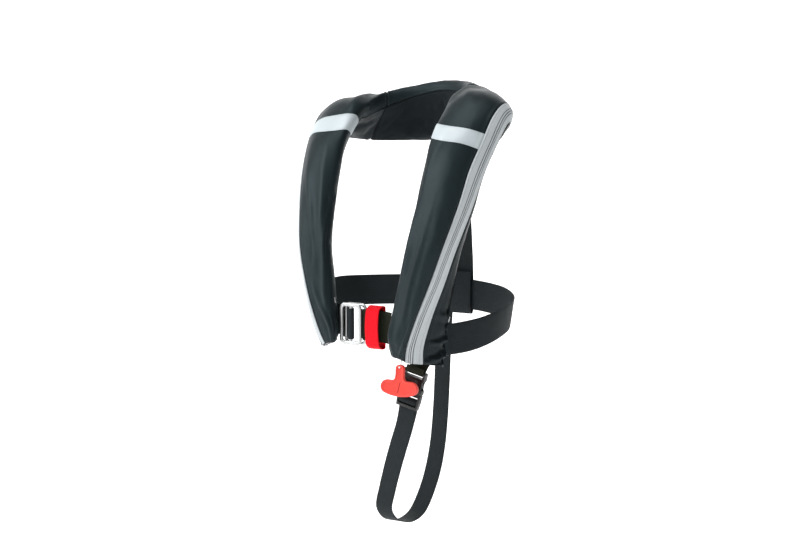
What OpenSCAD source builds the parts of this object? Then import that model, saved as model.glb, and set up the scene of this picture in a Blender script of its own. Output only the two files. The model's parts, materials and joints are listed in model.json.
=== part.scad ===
// Inflatable life jacket: two padded lobes joined by a collar, a waist belt with a
// stainless hook-through buckle, a crotch strap with a side-release buckle, and the
// manual inflator, gas cylinder and oral tube that the lobes hold inside.
// Frame: millimetres, +X to the wearer's left, -Y to the wearer's front, +Z up.
// Origin: on the torso axis at the base of the neck, where the collar rests.

/* [Cover] */
// Thickness of the cover cloth with its seam allowance
cover_t = 1.6; // [1.0:0.1:2.2]
// Width of the zip tape laid along the outer edge
zip_w = 23; // [18:1:26]
// Steps between neighbouring control stations of a lobe
steps = 3; // [2:1:5]

/* [Webbing] */
// Width of the waist belt webbing
belt_w = 48; // [40:1:50]
// Thickness of the webbing
web_t = 1.6; // [1.2:0.1:1.8]
// Width of the crotch strap webbing
crotch_w = 30; // [25:1:32]
// Width of the back strap webbing
back_w = 38; // [30:1:40]

/* [Front buckle] */
// Width of the plate and of the ring
plate_w = 41; // [40:1:42]
// Height of the plate and of the ring
plate_h = 64; // [62:1:66]
// Width of the red sliding loop
loop_w = 25; // [20:1:26]

/* [Pull toggle] */
// Span of the toggle's bar
toggle_w = 60; // [50:1:64]
// Thickness of the toggle
toggle_t = 7; // [5:0.5:8]
// Diameter of the pull cord
cord_d = 2.0; // [1.6:0.1:2.4]

/* [Inflator] */
// Diameter of the gas cylinder
gas_d = 27.5; // [26:0.5:29]
// Length of the gas cylinder's straight body
gas_l = 108; // [90:1:112]

/* [Hidden] */
$fn = 32;

charcoal = "#30363a"; webbing = "#24282a"; silver = "#d5dadb"; tape_c = "#b9bfc1";
red = "#e3141e"; coral = "#ef4a41"; black = "#141617"; steel = "#c9cccd";

// ---------- small vector helpers ----------
function unit(v) = v / norm(v);
function rx(a, p) = [p[0], p[1]*cos(a) - p[2]*sin(a), p[1]*sin(a) + p[2]*cos(a)];
function ry(a, p) = [p[0]*cos(a) + p[2]*sin(a), p[1], -p[0]*sin(a) + p[2]*cos(a)];
function rz(a, p) = [p[0]*cos(a) - p[1]*sin(a), p[0]*sin(a) + p[1]*cos(a), p[2]];
// point on an open smooth curve through P at parameter t
function cr(P, t) =
  let (n = len(P), i = min(max(floor(t), 0), n - 2), f = t - i,
       p1 = P[i], p2 = P[i+1],
       p0 = i > 0 ? P[i-1] : 2*p1 - p2,
       p3 = i + 2 < n ? P[i+2] : 2*p2 - p1)
  0.5*(2*p1 + (p2 - p0)*f + (2*p0 - 5*p1 + 4*p2 - p3)*f*f + (3*p1 - p0 - 3*p2 + p3)*f*f*f);
// point on a closed smooth curve through P at parameter t
function cc(P, t) =
  let (n = len(P), i = floor(t), f = t - i,
       p0 = P[(i-1+n) % n], p1 = P[(i+n) % n], p2 = P[(i+1+n) % n], p3 = P[(i+2+n) % n])
  0.5*(2*p1 + (p2 - p0)*f + (2*p0 - 5*p1 + 4*p2 - p3)*f*f + (3*p1 - p0 - 3*p2 + p3)*f*f*f);
function path(P, k) = [for (j = [0 : (len(P)-1)*k]) cr(P, j/k)];

// closed triangle mesh, wound whichever way makes it a proper solid
module mesh(pts, tris) {
  v = [for (f = tris) pts[f[0]] * cross(pts[f[1]], pts[f[2]])] * [for (f = tris) 1];
  polyhedron(points = pts, faces = v < 0 ? tris : [for (f = tris) [f[0], f[2], f[1]]]);
}
// cloth between an outer grid P and an inner grid Q of the same size
module slab(P, Q) {
  n = len(P); m = len(P[0]); o = n*m;
  pts = concat([for (r = P) for (p = r) p], [for (r = Q) for (p = r) p]);
  mesh(pts, concat(
    [for (i = [0:n-2]) for (j = [0:m-2]) each [[i*m+j, i*m+j+1, (i+1)*m+j+1], [i*m+j, (i+1)*m+j+1, (i+1)*m+j]]],
    [for (i = [0:n-2]) for (j = [0:m-2]) each [[o+i*m+j, o+(i+1)*m+j+1, o+i*m+j+1], [o+i*m+j, o+(i+1)*m+j, o+(i+1)*m+j+1]]],
    [for (i = [0:n-2]) each [[i*m, (i+1)*m, o+(i+1)*m], [i*m, o+(i+1)*m, o+i*m]]],
    [for (i = [0:n-2]) each [[i*m+m-1, o+(i+1)*m+m-1, (i+1)*m+m-1], [i*m+m-1, o+i*m+m-1, o+(i+1)*m+m-1]]],
    [for (j = [0:m-2]) each [[j, o+j+1, j+1], [j, o+j, o+j+1]]],
    [for (j = [0:m-2]) each [[(n-1)*m+j, (n-1)*m+j+1, o+(n-1)*m+j+1], [(n-1)*m+j, o+(n-1)*m+j+1, o+(n-1)*m+j]]]));
}
// closed tube through a list of rings, with fanned ends
module skin(R) {
  n = len(R); m = len(R[0]); o = n*m;
  one = [for (p = R[0]) 1];
  pts = concat([for (r = R) for (p = r) p], [one*R[0]/m, one*R[n-1]/m]);
  mesh(pts, concat(
    [for (i = [0:n-2]) for (j = [0:m-1]) each [[i*m+j, i*m+(j+1)%m, (i+1)*m+(j+1)%m], [i*m+j, (i+1)*m+(j+1)%m, (i+1)*m+j]]],
    [for (j = [0:m-1]) [o, (j+1)%m, j]],
    [for (j = [0:m-1]) [o+1, (n-1)*m+j, (n-1)*m+(j+1)%m]]));
}
// open sleeve between outer rings R and inner rings S
module sleeve(R, S) {
  n = len(R); m = len(R[0]); o = n*m;
  pts = concat([for (r = R) for (p = r) p], [for (r = S) for (p = r) p]);
  mesh(pts, concat(
    [for (i = [0:n-2]) for (j = [0:m-1]) each [[i*m+j, i*m+(j+1)%m, (i+1)*m+(j+1)%m], [i*m+j, (i+1)*m+(j+1)%m, (i+1)*m+j]]],
    [for (i = [0:n-2]) for (j = [0:m-1]) each [[o+i*m+j, o+(i+1)*m+(j+1)%m, o+i*m+(j+1)%m], [o+i*m+j, o+(i+1)*m+j, o+(i+1)*m+(j+1)%m]]],
    [for (j = [0:m-1]) each [[j, o+(j+1)%m, (j+1)%m], [j, o+j, o+(j+1)%m]]],
    [for (j = [0:m-1]) each [[(n-1)*m+j, (n-1)*m+(j+1)%m, o+(n-1)*m+(j+1)%m], [(n-1)*m+j, o+(n-1)*m+(j+1)%m, o+(n-1)*m+j]]]));
}
// rectangle of width w along W and thickness t, at each point of a path
function tangent(P, i) = unit(P[min(i+1, len(P)-1)] - P[max(i-1, 0)]);
function web_ring(c, T, W, w, t) =
  let (n = unit(cross(T, W)), u = unit(cross(n, T)))
  [c + u*w/2 + n*t/2, c - u*w/2 + n*t/2, c - u*w/2 - n*t/2, c + u*w/2 - n*t/2];
function web_rings(P, W, w, t) =
  [for (i = [0:len(P)-1]) web_ring(P[i], tangent(P, i), W[i], w, t)];
module webbing_band(P, W, w, t) { skin(web_rings(P, W, w, t)); }
function tube_rings(P, r, k, up = [0.2, 1, 0.1]) =
  [for (i = [0:len(P)-1]) let (T = tangent(P, i), a = unit(cross(T, up)), b = cross(T, a))
    [for (j = [0:k-1]) P[i] + r*(a*cos(360*j/k) + b*sin(360*j/k))]];

// ---------- the lobes ----------
// control stations from the nape (first) to the hem (last) on the wearer's left:
// inner roll centre, zip line, outer back seam, [roll radius, crown of the front]
LOBE = [
  [[0, 82, 30],      [0, 118, -38],     [0, 96, -50],      [13, 8, 0]],
  [[50, 70, 29],     [72, 104, -32],    [60, 84, -46],     [14, 8, 0]],
  [[84, 38, 25],     [134, 62, -14],    [122, 48, -40],    [16, 9, 0]],
  [[96, 4, 18],      [170, 10, 0],      [162, 4, -32],     [18, 10, 0]],
  [[100, -26, 6],    [174, -16, -8],    [166, -8, -40],    [18, 10, 0]],
  [[99, -66, -40],   [171, -41, -42],   [160, -16, -52],   [18, 11, 0]],
  [[98, -86, -88],   [164, -68, -90],   [158, -44, -92],   [18, 11, 0]],
  [[96, -102, -140], [154, -88, -142],  [151, -54, -142],  [18, 11, 0]],
  [[90, -119, -200], [137, -108, -204], [139, -67, -204],  [18, 11, 0]],
  [[81, -125, -250], [121, -118, -254], [129, -73, -256],  [18, 10, 0]],
  [[74, -129, -298], [102, -126, -302], [119, -76, -306],  [18, 8, 0]],
  [[65, -132, -338], [87, -130, -346],  [113, -78, -352],  [16, 5, 0]],
  [[61, -133, -366], [82, -128, -374],  [111, -82, -380],  [7, 2, 0]]];
// how much lower the wearer's right side sits at each station
DROP = [0, 8, 14, 15, 11, 5, 0, 0, 0, 0, -3, -8, -13];
function mir(p) = [-p[0], p[1], p[2]];
// one chain over both lobes: 0 right hem, 12 nape, 24 left hem
CHAIN = concat(
  [for (k = [12:-1:1]) [for (j = [0:3]) j < 3 ? mir(LOBE[k][j]) - [0, 0, DROP[k]] : LOBE[k][3]]],
  LOBE);
CI = [for (c = CHAIN) c[0]]; CZ = [for (c = CHAIN) c[1]];
CE = [for (c = CHAIN) c[2]]; CR = [for (c = CHAIN) c[3]];
function sec(s) =
  let (I = cr(CI, s), Z = cr(CZ, s), E = cr(CE, s), rc = cr(CR, s),
       a = max(min(s, 24) - 0.05, 0), b = min(max(s, 0) + 0.05, 24),
       T = unit(cr(CI, b) + cr(CZ, b) + cr(CE, b) - cr(CI, a) - cr(CZ, a) - cr(CE, a)),
       w = unit((Z + E)/2 - I), n = unit(cross(T, w)), u = cross(n, T),
       A = I - rc[0]*n, G = I - rc[0]*u, B = I + rc[0]*n)
  [A, G, B, (B + Z)/2 + rc[1]*n, Z, E, (A + E)/2];
function middle(c) = (c[0] + c[2] + c[4] + c[5])/4;
// a row of points round the section at s, each offset outward by o
function row(s, ms, o) =
  let (c0 = sec(s - 0.05), c = sec(s), c1 = sec(s + 0.05), m0 = middle(c))
  [for (m = ms) let (p = cc(c, m), g = cross(cc(c1, m) - cc(c0, m), cc(c, m + 0.03) - cc(c, m - 0.03)), n = unit(g))
    p + o*(n*(p - m0) > 0 ? 1 : -1)*n];
// how far the zip rolls to the front on the wearer's right, counted from the hem
ROLL = [4, 9, 11, 12, 12, 9, 5, 0];
// place on the section curve that lies x mm behind the middle of the zip tape
function zm(s, x) =
  let (c = sec(s), d = norm(c[5] - c[3])/2, f = norm(c[4] - c[3]), g = norm(c[3] - c[2]),
       b = norm(c[5] - c[4]), k = 1 - ease(5.6, 7, s), y = x - cr(ROLL, min(s, 7)))
  (1 - k)*(4 + x/d) + k*(y > 0 ? 4 + y/b : y > -f ? 4 + y/f : 3 + (y + f)/g);
function span(a, b, k) = [for (j = [0:k]) a + (b - a)*j/k];
module panel(s0, s1, side_m, k, o1, o0) {
  n = max(1, round(abs(s1 - s0)*steps));
  S = span(s0, s1, n);
  slab([for (s = S) row(s, side_m == 0 ? span(0.03, zm(s, -zip_w/2) - 0.01, k) : span(zm(s, zip_w/2) + 0.01, 6.97, k), o1)],
       [for (s = S) row(s, side_m == 0 ? span(0.03, zm(s, -zip_w/2) - 0.01, k) : span(zm(s, zip_w/2) + 0.01, 6.97, k), o0)]);
}
module front_cover_left()  color(charcoal) panel(14.02, 24, 0, 10, 0, -cover_t);
module front_cover_right() color(charcoal) panel(0, 9.98, 0, 10, 0, -cover_t);
module back_cover_left()   color("#1d2123") panel(14.02, 24, 1, 6, 0, -cover_t);
module back_cover_right()  color("#1d2123") panel(0, 9.98, 1, 6, 0, -cover_t);
module collar_cover()      color(charcoal) panel(10.02, 13.98, 0, 10, 0, -cover_t);
module collar_lining()     color("#3a4044") panel(10.02, 13.98, 1, 6, 0, -cover_t);

// stitched floor of each lobe
module hem(s0, s1) {
  skin([row(s0, span(0, 7 - 7/22, 21), -cover_t - 0.6), row(s1, span(0, 7 - 7/22, 21), -cover_t - 0.6)]);
}
module hem_panel_left() color("#1d2123") difference() {
  hem(23.93, 23.98);
  // slot in the hem seam that the pull cord runs through
  translate(cord_at(34)) rotate(cord_rot) cylinder(d = 6, h = 24, center = true);
}
module hem_panel_right() color("#1d2123") hem(0.07, 0.02);

// reflective bands laid over the front of each lobe
module band(side, a0, a1, b0, b1) {
  M = span(0.12, 1, 10);
  S = span(0, 1, 2);
  function g(o) = [for (f = S) [for (q = M)
    let (m = q*zm(12 + side*5, -zip_w/2) - 0.02, t = (a0 + (a1 - a0)*f) + ((b0 + (b1 - b0)*f) - (a0 + (a1 - a0)*f))*m/4)
    row(12 + side*t, [m], o)[0]]];
  slab(g(1.1), g(0.4));
}
module reflective_band_left()  color(silver) band(1, 4.62, 5.00, 4.92, 5.42);
module reflective_band_right() color(silver) band(-1, 4.20, 4.72, 4.70, 5.20);

// zip: tape from hem to hem round the outer edge, with its chain
module zip_tape() color(tape_c) {
  S = span(0.06, 23.94, round(24*steps));
  slab([for (s = S) row(s, [for (x = span(-zip_w/2 + 0.3, zip_w/2 - 0.3, 4)) zm(s, x)], 0.3)],
       [for (s = S) row(s, [for (x = span(-zip_w/2 + 0.3, zip_w/2 - 0.3, 4)) zm(s, x)], -cover_t)]);
}
function chain_grid(o) = [for (s = span(0.1, 23.9, round(24*steps))) row(s, [zm(s, -2), zm(s, 0), zm(s, 2)], o)];
module zip_chain() color("#6d7376") slab(chain_grid(1.5), chain_grid(0.45));

// frame of the zip slider, parked behind the nape
sl_at = row(12, [4], 0)[0];
sl_up = unit(row(12.2, [4], 0)[0] - row(11.8, [4], 0)[0]);
sl_tilt = atan2(-sl_up[0], sl_up[2]);
sl_out = ry(sl_tilt, row(12, [4], 1)[0] - sl_at);
sl_az = atan2(sl_out[0], -sl_out[1]);
// local frame: -y away from the lobe, +z up along the zip
module slider_frame() translate(sl_at) rotate([0, -sl_tilt, 0]) rotate([0, 0, sl_az]) children();
module zip_slider() color("#3c4143") slider_frame() {
  difference() {
    union() {
      translate([-5.5, -5.2, -7]) cube([11, 2.6, 14]);
      translate([-1.6, -8.6, -4.5]) cube([3.2, 3.6, 9]);
    }
    translate([-2, -6.6, 0]) rotate([0, 90, 0]) cylinder(d = 2.2, h = 5);
    translate([-3, -6.6, 0]) rotate([0, 90, 0]) cylinder(d = 2.2, h = 6);
  }
}
module zip_pull() color("#3c4143") slider_frame() translate([0, -6.6, 0]) {
  rotate([0, 90, 0]) cylinder(d = 1.6, h = 7.6, center = true);
  for (x = [-3.8, 2.2]) translate([x, -0.8, -8]) cube([1.6, 1.6, 8]);
  difference() {
    translate([-3.8, -0.8, -20]) cube([7.6, 1.6, 12.2]);
    translate([0, 0, -16.5]) rotate([90, 0, 0]) cylinder(d = 3, h = 4, center = true);
  }
}

// folded bladder that fills the collar and runs down both lobes
function ease(a, b, t) = let (f = min(max((t - a)/(b - a), 0), 1)) f*f*(3 - 2*f);
function bladder_ring(s) =
  let (c = sec(s), t = abs(s - 12), k = ease(4.5, 6.5, t),
       T = unit(middle(sec(s + 0.05)) - middle(sec(s - 0.05))),
       c0 = (c[0] + c[2])/4 + (c[4] + c[5])/4, c1 = 0.17*c[0] + 0.51*c[5] + 0.32*c[4],
       o = c0*(1 - k) + c1*k,
       wa = unit(c[5] + c[4] - c[0] - c[2]), wb = unit(c[4] - c[6]),
       w0 = unit(wa*(1 - k) + wb*k), n = unit(cross(T, w0)), w = unit(cross(n, T)),
       end = 1 - 0.45*ease(9.7, 10.2, t),
       a = (17*(1 - k) + 8.8*k)*end, b = (7*(1 - k) + 4.6*k)*end)
  [for (j = [0:11]) o + a*cos(30*j)*w + b*sin(30*j)*n];
module bladder() color("#e8a41c") skin([for (s = span(1.8, 22.2, 60)) bladder_ring(s)]);

// ---------- waist belt ----------
// centre line round the body, from the front left to the front right
BELT = [[30, -110.6, -326], [62, -105.5, -331], [89, -88.6, -337], [112, -69, -341], [143, -37, -333],
  [155, 8, -321], [141, 59, -311], [96, 102, -303], [38, 124, -299], [-20, 127, -297],
  [-80, 112, -295], [-138, 64, -295], [-154, 8, -294], [-143, -37, -301], [-112, -70, -312],
  [-89, -89, -317], [-60, -105.8, -321]];
function belt_tilt(p) = unit([0.2*p[0]/155, 0, 1]);
module waist_belt() color(webbing) {
  P = path(BELT, 3);
  webbing_band(P, [for (p = P) belt_tilt(p)], belt_w, web_t);
}
function part_of(R, a, b) = [for (i = [a:b]) R[i]];
// fabric sleeve round the belt, between two steps of its path
module tunnel(a, b) {
  P = path(BELT, 3); W = [for (p = P) belt_tilt(p)];
  sleeve(part_of(web_rings(P, W, belt_w + 3, web_t + 2.4), a, b), part_of(web_rings(P, W, belt_w + 1.2, web_t + 0.9), a, b));
}
module belt_tunnel_left()  color(charcoal) tunnel(7, 9);
module belt_tunnel_right() color(charcoal) tunnel(42, 44);

// axes of the front hardware
plate_x = -31.4; plate_y = -124; hw_z = -323;
ring_x = -27; ring_y = -116.5; bar_r = 2.5;
bar_x = ring_x + plate_w/2 - bar_r;
function arc(x, y, r, a0, a1, k) = [for (j = [0:k]) let (a = a0 + (a1 - a0)*j/k) [x + r*cos(a), y + r*sin(a), hw_z]];
// turns from upright at the hardware to the belt's own tilt where the two are sewn
function sewn_tilt(p) = unit([0.2*p[0]/155*ease(28, 44, abs(p[0])), 0, 1]);
// webbing sewn round the ring's right bar, sandwiching the belt
module belt_end_left() color("#3b3f33") {
  P = concat([[64, -107.6, -331], [52, -110.7, -329.5], [40, -112.4, -327.5], [22, -113.6, -325], [8, -116.4, -323.5]],
    arc(bar_x, ring_y, 3.9, -80, -280, 8),
    [[6, -110.6, -323.5], [22, -108.6, -325], [40, -107.6, -327.5], [50, -106.2, -329.5], [62, -103.2, -331]]);
  Q = path(P, 2);
  webbing_band(Q, [for (q = Q) sewn_tilt(q)], belt_w - 1, web_t);
}
// webbing sewn round the plate's centre bar, led back through the ring
module belt_end_right() color("#2b3136") {
  cb = -123;
  P = concat([[-73, -103.2, -319], [-61, -108.4, -321], [-51, -110.2, hw_z], [-43, -111.8, hw_z], [-38.2, -116.4, hw_z]],
    arc(plate_x, cb, 3.9, -170, -5, 7),
    [[-30.5, -118, hw_z], [-35, -111.6, hw_z], [-43, -108.3, hw_z], [-52, -106.2, hw_z], [-62, -101.9, -321], [-72, -96.2, -319]]);
  Q = path(P, 2);
  webbing_band(Q, [for (q = Q) sewn_tilt(q)], belt_w - 1, web_t);
}

// rounded frame of a flat plate: outer size w x h, corner radius r
module round_rect(w, h, r) hull() for (x = [-1, 1]) for (y = [-1, 1])
  translate([x*(w/2 - r), y*(h/2 - r)]) circle(r = r);
// stainless three-bar plate that hooks through the ring
module buckle_plate() color(steel) translate([plate_x, plate_y, hw_z]) {
  difference() {
    rotate([90, 0, 0]) linear_extrude(height = 4, center = true) difference() {
      round_rect(plate_w, plate_h, 9);
      round_rect(plate_w - 12, plate_h - 12, 4);
    }
  }
  translate([0, 1, 0]) cylinder(d = 5, h = plate_h - 11, center = true);
}
// stainless ring of round bar behind the plate
module buckle_ring() color(steel) translate([ring_x, ring_y, hw_z]) {
  w = plate_w/2 - bar_r; h = plate_h/2 - bar_r; c = 6;
  for (x = [-w, w]) translate([x, 0, 0]) cylinder(r = bar_r, h = 2*(h - c), center = true);
  for (z = [-h, h]) translate([0, 0, z]) rotate([0, 90, 0]) cylinder(r = bar_r, h = 2*(w - c), center = true);
  for (q = [[1, 1, 0], [-1, 1, 90], [-1, -1, 180], [1, -1, 270]])
    translate([q[0]*(w - c), 0, q[1]*(h - c)]) rotate([90, 0, 0]) rotate([0, 0, q[2]])
      rotate_extrude(angle = 90) translate([c, 0]) circle(r = bar_r);
}
// red loop of folded webbing that gathers the belt's layers
module soft_loop() color(red) translate([-3.4, 0, -326.4]) rotate([90, 0, 90]) linear_extrude(height = loop_w)
  difference() {
    polygon([[-105.6, -30], [-107.2, -33], [-115.5, -33], [-122.8, -27.8], [-125.4, -14], [-126.4, 0],
      [-125.4, 14], [-122.8, 27.8], [-115.5, 33], [-107.2, 33], [-105.6, 30], [-105, 0]]);
    polygon([[-107.2, -29], [-108.6, -31], [-114.6, -31], [-121, -26.8], [-123.5, -13.6], [-124.4, 0],
      [-123.5, 13.6], [-121, 26.8], [-114.6, 31], [-108.6, 31], [-107.2, 29], [-106.6, 0]]);
  }

// ---------- back strap and crotch strap ----------
module back_strap() color(webbing) {
  P = path([[2, 100, -53.5], [2, 108, -75], [2, 116, -115], [2, 122, -165], [2, 128, -230], [2, 130.6, -285],
    [2, 130.8, -318], [2, 127.2, -329], [2, 122.6, -320], [2, 122.2, -296], [2, 123.4, -262]], 3);
  webbing_band(P, [for (p = P) [1, 0, 0]], back_w, web_t);
}
// frame of the side-release buckle: +z up the strap, -y to the front
bk = [77.8, -105.5, -387];
function bk_pt(p) = bk + rz(8, ry(15, p));
module buckle_frame() translate(bk) rotate([0, 0, 8]) rotate([0, 15, 0]) children();
bk_x = rz(8, ry(15, [1, 0, 0]));
module crotch_strap_upper() color("#33372c") {
  P = path(concat([[80.2, -90, -308], [80, -89.6, -330], [79.6, -89, -348], [79.8, -89.8, -361], [80, -93, -371], [79.6, -98, -378]],
    [for (p = [[0, 4, 2.5], [0, 3.9, -1], [0, 2.4, -4.6], [0, 0, -5.4], [0, -2.4, -4.6], [0, -3.9, -1], [0, -3.9, 2.5], [0, -3.4, 6]]) bk_pt(p)]), 2);
  webbing_band(P, [for (p = P) let (f = ease(-380, -361, p[2])) (1 - f)*bk_x + f*[cos(38), sin(38), 0]], crotch_w, web_t);
}
module crotch_strap() color(webbing) {
  A = [for (p = [[0, 6.9, -80], [0, 6.8, -64], [0, 6.4, -52], [0, 5.4, -46.4], [0, 2.6, -43.9], [0, 0, -43.6], [0, -3.6, -44.6], [0, -4.7, -48.4],
    [0, -3.4, -51.8], [0, 0.6, -52.6], [0, 3.2, -55.4], [0, 3.6, -62]]) bk_pt(p)];
  B = [[55, -103, -472], [40, -99, -508], [25, -93, -542], [10, -86, -578], [-1, -80, -609],
    [-1, -66, -628], [-1, -45, -636.5], [-2, -20, -640], [-5, 12, -633], [-10, 42, -611], [-17, 72, -579],
    [-24, 97, -535], [-29, 112, -480], [-32, 121, -420], [-33.5, 127, -360], [-33.5, 130.4, -318],
    [-33.5, 130.4, -282], [-33.5, 126, -264], [-33.5, 119.8, -276], [-33.5, 118.8, -312]];
  P = path(concat(A, B), 2);
  webbing_band(P, [for (i = [0:len(P)-1]) i < 30 ? (1 - i/30*(i > 22 ? 1 : 0))*bk_x + (i > 22 ? i/30 : 0)*[1, 0, 0] : [1, 0, 0]], crotch_w, web_t);
}
bw = 38; bt = 11;
module crotch_buckle_socket() color(black) buckle_frame() difference() {
  rotate([90, 0, 0]) linear_extrude(height = bt, center = true)
    polygon([[-bw/2, -1], [-bw/2 + 2, 0.5], [bw/2 - 2, 0.5], [bw/2, -1], [bw/2, -12], [bw/2 - 2, -15],
      [bw/2 - 2, -25], [bw/2, -28], [bw/2, -34], [-bw/2, -34], [-bw/2, -28], [-bw/2 + 2, -25], [-bw/2 + 2, -15], [-bw/2, -12]]);
  // slot for the upper webbing, with its bar above
  translate([-15.8, -10, -9.2]) cube([31.6, 20, 6.2]);
  translate([-15.8, -8, -4]) cube([31.6, 5.8, 6]);
  translate([-15.8, 2.2, -4]) cube([31.6, 5.8, 6]);
  // cavity for the prongs, open at the bottom, and side windows
  translate([-16.2, -3.4, -36]) cube([32.4, 6.8, 25]);
  for (x = [-22, 13]) translate([x, -3.4, -27]) cube([9, 6.8, 15]);
}
module crotch_buckle_clip() color(black) buckle_frame() difference() {
  union() {
    rotate([90, 0, 0]) linear_extrude(height = 9.4, center = true)
      polygon([[-bw/2, -34.5], [bw/2, -34.5], [bw/2, -46], [bw/2 - 1.5, -59], [-bw/2 + 1.5, -59], [-bw/2, -46]]);
    // guide blade between the prongs
    translate([-3, -2.6, -35]) cube([6, 5.2, 21]);
  }
  // webbing windows
  translate([-15.6, -10, -46.2]) cube([31.2, 20, 4.6]);
  translate([-15.6, -10, -54.8]) cube([31.2, 20, 4.6]);
  // relief for the strap over the bars
  translate([-15.6, -6, -50.6]) cube([31.2, 2.6, 4.8]);
  translate([-15.6, 1.4, -60]) cube([31.2, 5, 13.9]);
  // seats of the prongs
  for (x = [-11, 11]) translate([x, 0, -36]) rotate([90, 0, 0]) cylinder(r = 3.1, h = 12, center = true);
}
module prong(s) buckle_frame() translate([s*11, 0, -36]) {
  rotate([90, 0, 0]) cylinder(r = 2.7, h = 5.4, center = true);
  rotate([90, 0, 0]) linear_extrude(height = 5.4, center = true)
    polygon([[-s*2.4, 0], [s*2.4, 0], [s*2.4, 11], [s*6.6, 13], [s*6.6, 18], [s*3, 22.5], [-s*1.4, 22.5], [-s*2.4, 20]]);
}
module clip_prong_left()  color(black) prong(1);
module clip_prong_right() color(black) prong(-1);

// ---------- inflator in the left lobe ----------
// frame: origin where the cylinder's neck enters, +z up the cylinder, -y to the front
inf = [79.7, -124.9, -290];
inf_r = [-8.8, 11, 0]; inf_yaw = 35;
function inf_pt(p) = inf + ry(inf_r[1], rx(inf_r[0], rz(inf_yaw, p)));
module inflator_frame() translate(inf) rotate(inf_r) rotate([0, 0, inf_yaw]) children();
module inflator_body() color("#d8dadb") inflator_frame() difference() {
  union() {
    intersection() {
      translate([-12, -9.5, -41]) cube([24, 20.5, 40]);
      translate([0, 1.4, -41]) cylinder(r = 12.6, h = 40);
    }
    translate([0, 0, -3]) cylinder(r = 8.6, h = 3);
    // lugs of the lever
    for (y = [-6.2, 3.2]) translate([-12, y, -51]) cube([8, 3, 10.5]);
  }
  // neck socket, spring chamber and pin guide in one line
  translate([0, 0, -8]) cylinder(d = 12.1, h = 9);
  translate([0, 0, -28]) cylinder(d = 9, h = 21);
  translate([0, 0, -44]) cylinder(d = 4.04, h = 18);
  translate([-8, 0, -47]) rotate([90, 0, 0]) cylinder(d = 3, h = 20, center = true);
  // seat of the cap and port to the bladder
  translate([9.8, 2, -30]) rotate([0, 90, 0]) cylinder(d = 10.06, h = 4);
  translate([6, 4, -9]) rotate([0, 90, 0]) cylinder(d = 8, h = 8);
}
module inflator_cap() color("#e9c62b") inflator_frame() translate([12.3, 2, -30]) rotate([0, 90, 0]) difference() {
  union() {
    cylinder(d = 14.6, h = 8);
    translate([0, 0, -2]) cylinder(d = 10, h = 3);
    for (a = [0:45:315]) rotate([0, 0, a]) translate([6.6, -0.8, 0]) cube([1.2, 1.6, 8]);
  }
  translate([0, 0, 3]) cylinder(d = 10, h = 7);
}
module lever_pin() color(steel) inflator_frame() translate([-8, 0, -47]) rotate([90, 0, 0])
  cylinder(d = 2.96, h = 13, center = true);
module inflator_lever() color(red) inflator_frame() difference() {
  union() {
    translate([-8, 0, -47]) rotate([90, 0, 0]) cylinder(d = 8, h = 5.4, center = true);
    translate([-7, -2.7, -50.4]) cube([15, 5.4, 4.4]);
  }
  translate([-8, 0, -47]) rotate([90, 0, 0]) cylinder(d = 3.04, h = 20, center = true);
  // open fork that holds the knotted cord
  translate([2.6, -1.45, -53]) cube([8, 2.9, 9]);
}
module piercing_pin() color(steel) inflator_frame() {
  translate([0, 0, -40]) cylinder(d = 3.96, h = 24);
  translate([0, 0, -16]) cylinder(d1 = 3.96, d2 = 0.6, h = 5);
  translate([0, 0, -26.5]) cylinder(d = 8.4, h = 1.5);
}
module firing_spring() color("#9aa0a3") inflator_frame()
  skin(tube_rings([for (i = [0:56]) [3.3*cos(i*360/14), 3.3*sin(i*360/14), -20 + i*11/56]], 0.4, 6, [0, 0, 1]));
module safety_clip() color("#37b24d") inflator_frame() difference() {
  translate([8.6, -5, -50]) cube([3.6, 10, 8.4]);
  translate([8, -3.2, -52]) cube([2.4, 6.4, 8.8]);
}
module gas_cylinder() color("#aab1b3") inflator_frame() {
  rotate_extrude() polygon([[0, -6], [6, -6], [6, 2], [6.6, 5], [gas_d/2 - 3, 13], [gas_d/2, 18], [gas_d/2, 18 + gas_l],
    [gas_d/2 - 4, 22 + gas_l], [0, 24 + gas_l]]);
}
module valve_stem() color(black) inflator_frame() translate([12.2, 4, -9]) rotate([0, 90, 0]) difference() {
  union() { cylinder(d = 10, h = 15); translate([0, 0, 7]) cylinder(d = 14, h = 2); }
  translate([0, 0, -1]) cylinder(d = 5, h = 20);
}
module valve_nut() color(steel) inflator_frame() translate([13, 4, -9]) rotate([0, 90, 0]) difference() {
  cylinder(d = 14, h = 4, $fn = 6);
  translate([0, 0, -1]) cylinder(d = 10.04, h = 8);
}

// ---------- oral tube in the right lobe ----------
ot = [-82.6, -123.6, -280];
module oral_frame() translate(ot) rotate([-9.2, -11, 0]) children();
module oral_tube() color(black) oral_frame() difference() {
  union() {
    cylinder(d = 12, h = 92);
    translate([0, 0, -3]) cylinder(d = 18, h = 4);
    translate([0, 0, 8]) rotate([0, 90, 133]) cylinder(r = 5, h = 24);
    // collar that the cap snaps over
    translate([0, 0, 78]) cylinder(d = 14, h = 2);
  }
  translate([0, 0, 4]) cylinder(d = 9, h = 90);
  translate([0, 0, 8]) rotate([0, 90, 133]) cylinder(r = 3, h = 30);
}
module oral_valve() color(red) oral_frame() {
  translate([0, 0, 86]) cylinder(d = 8.92, h = 5);
  translate([0, 0, 74]) cylinder(d = 3, h = 13);
}
module oral_cap() color("#2b2f31") oral_frame() difference() {
  translate([0, 0, 80.4]) cylinder(d = 15, h = 16);
  translate([0, 0, 79]) cylinder(d = 12.08, h = 15.4);
}
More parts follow.
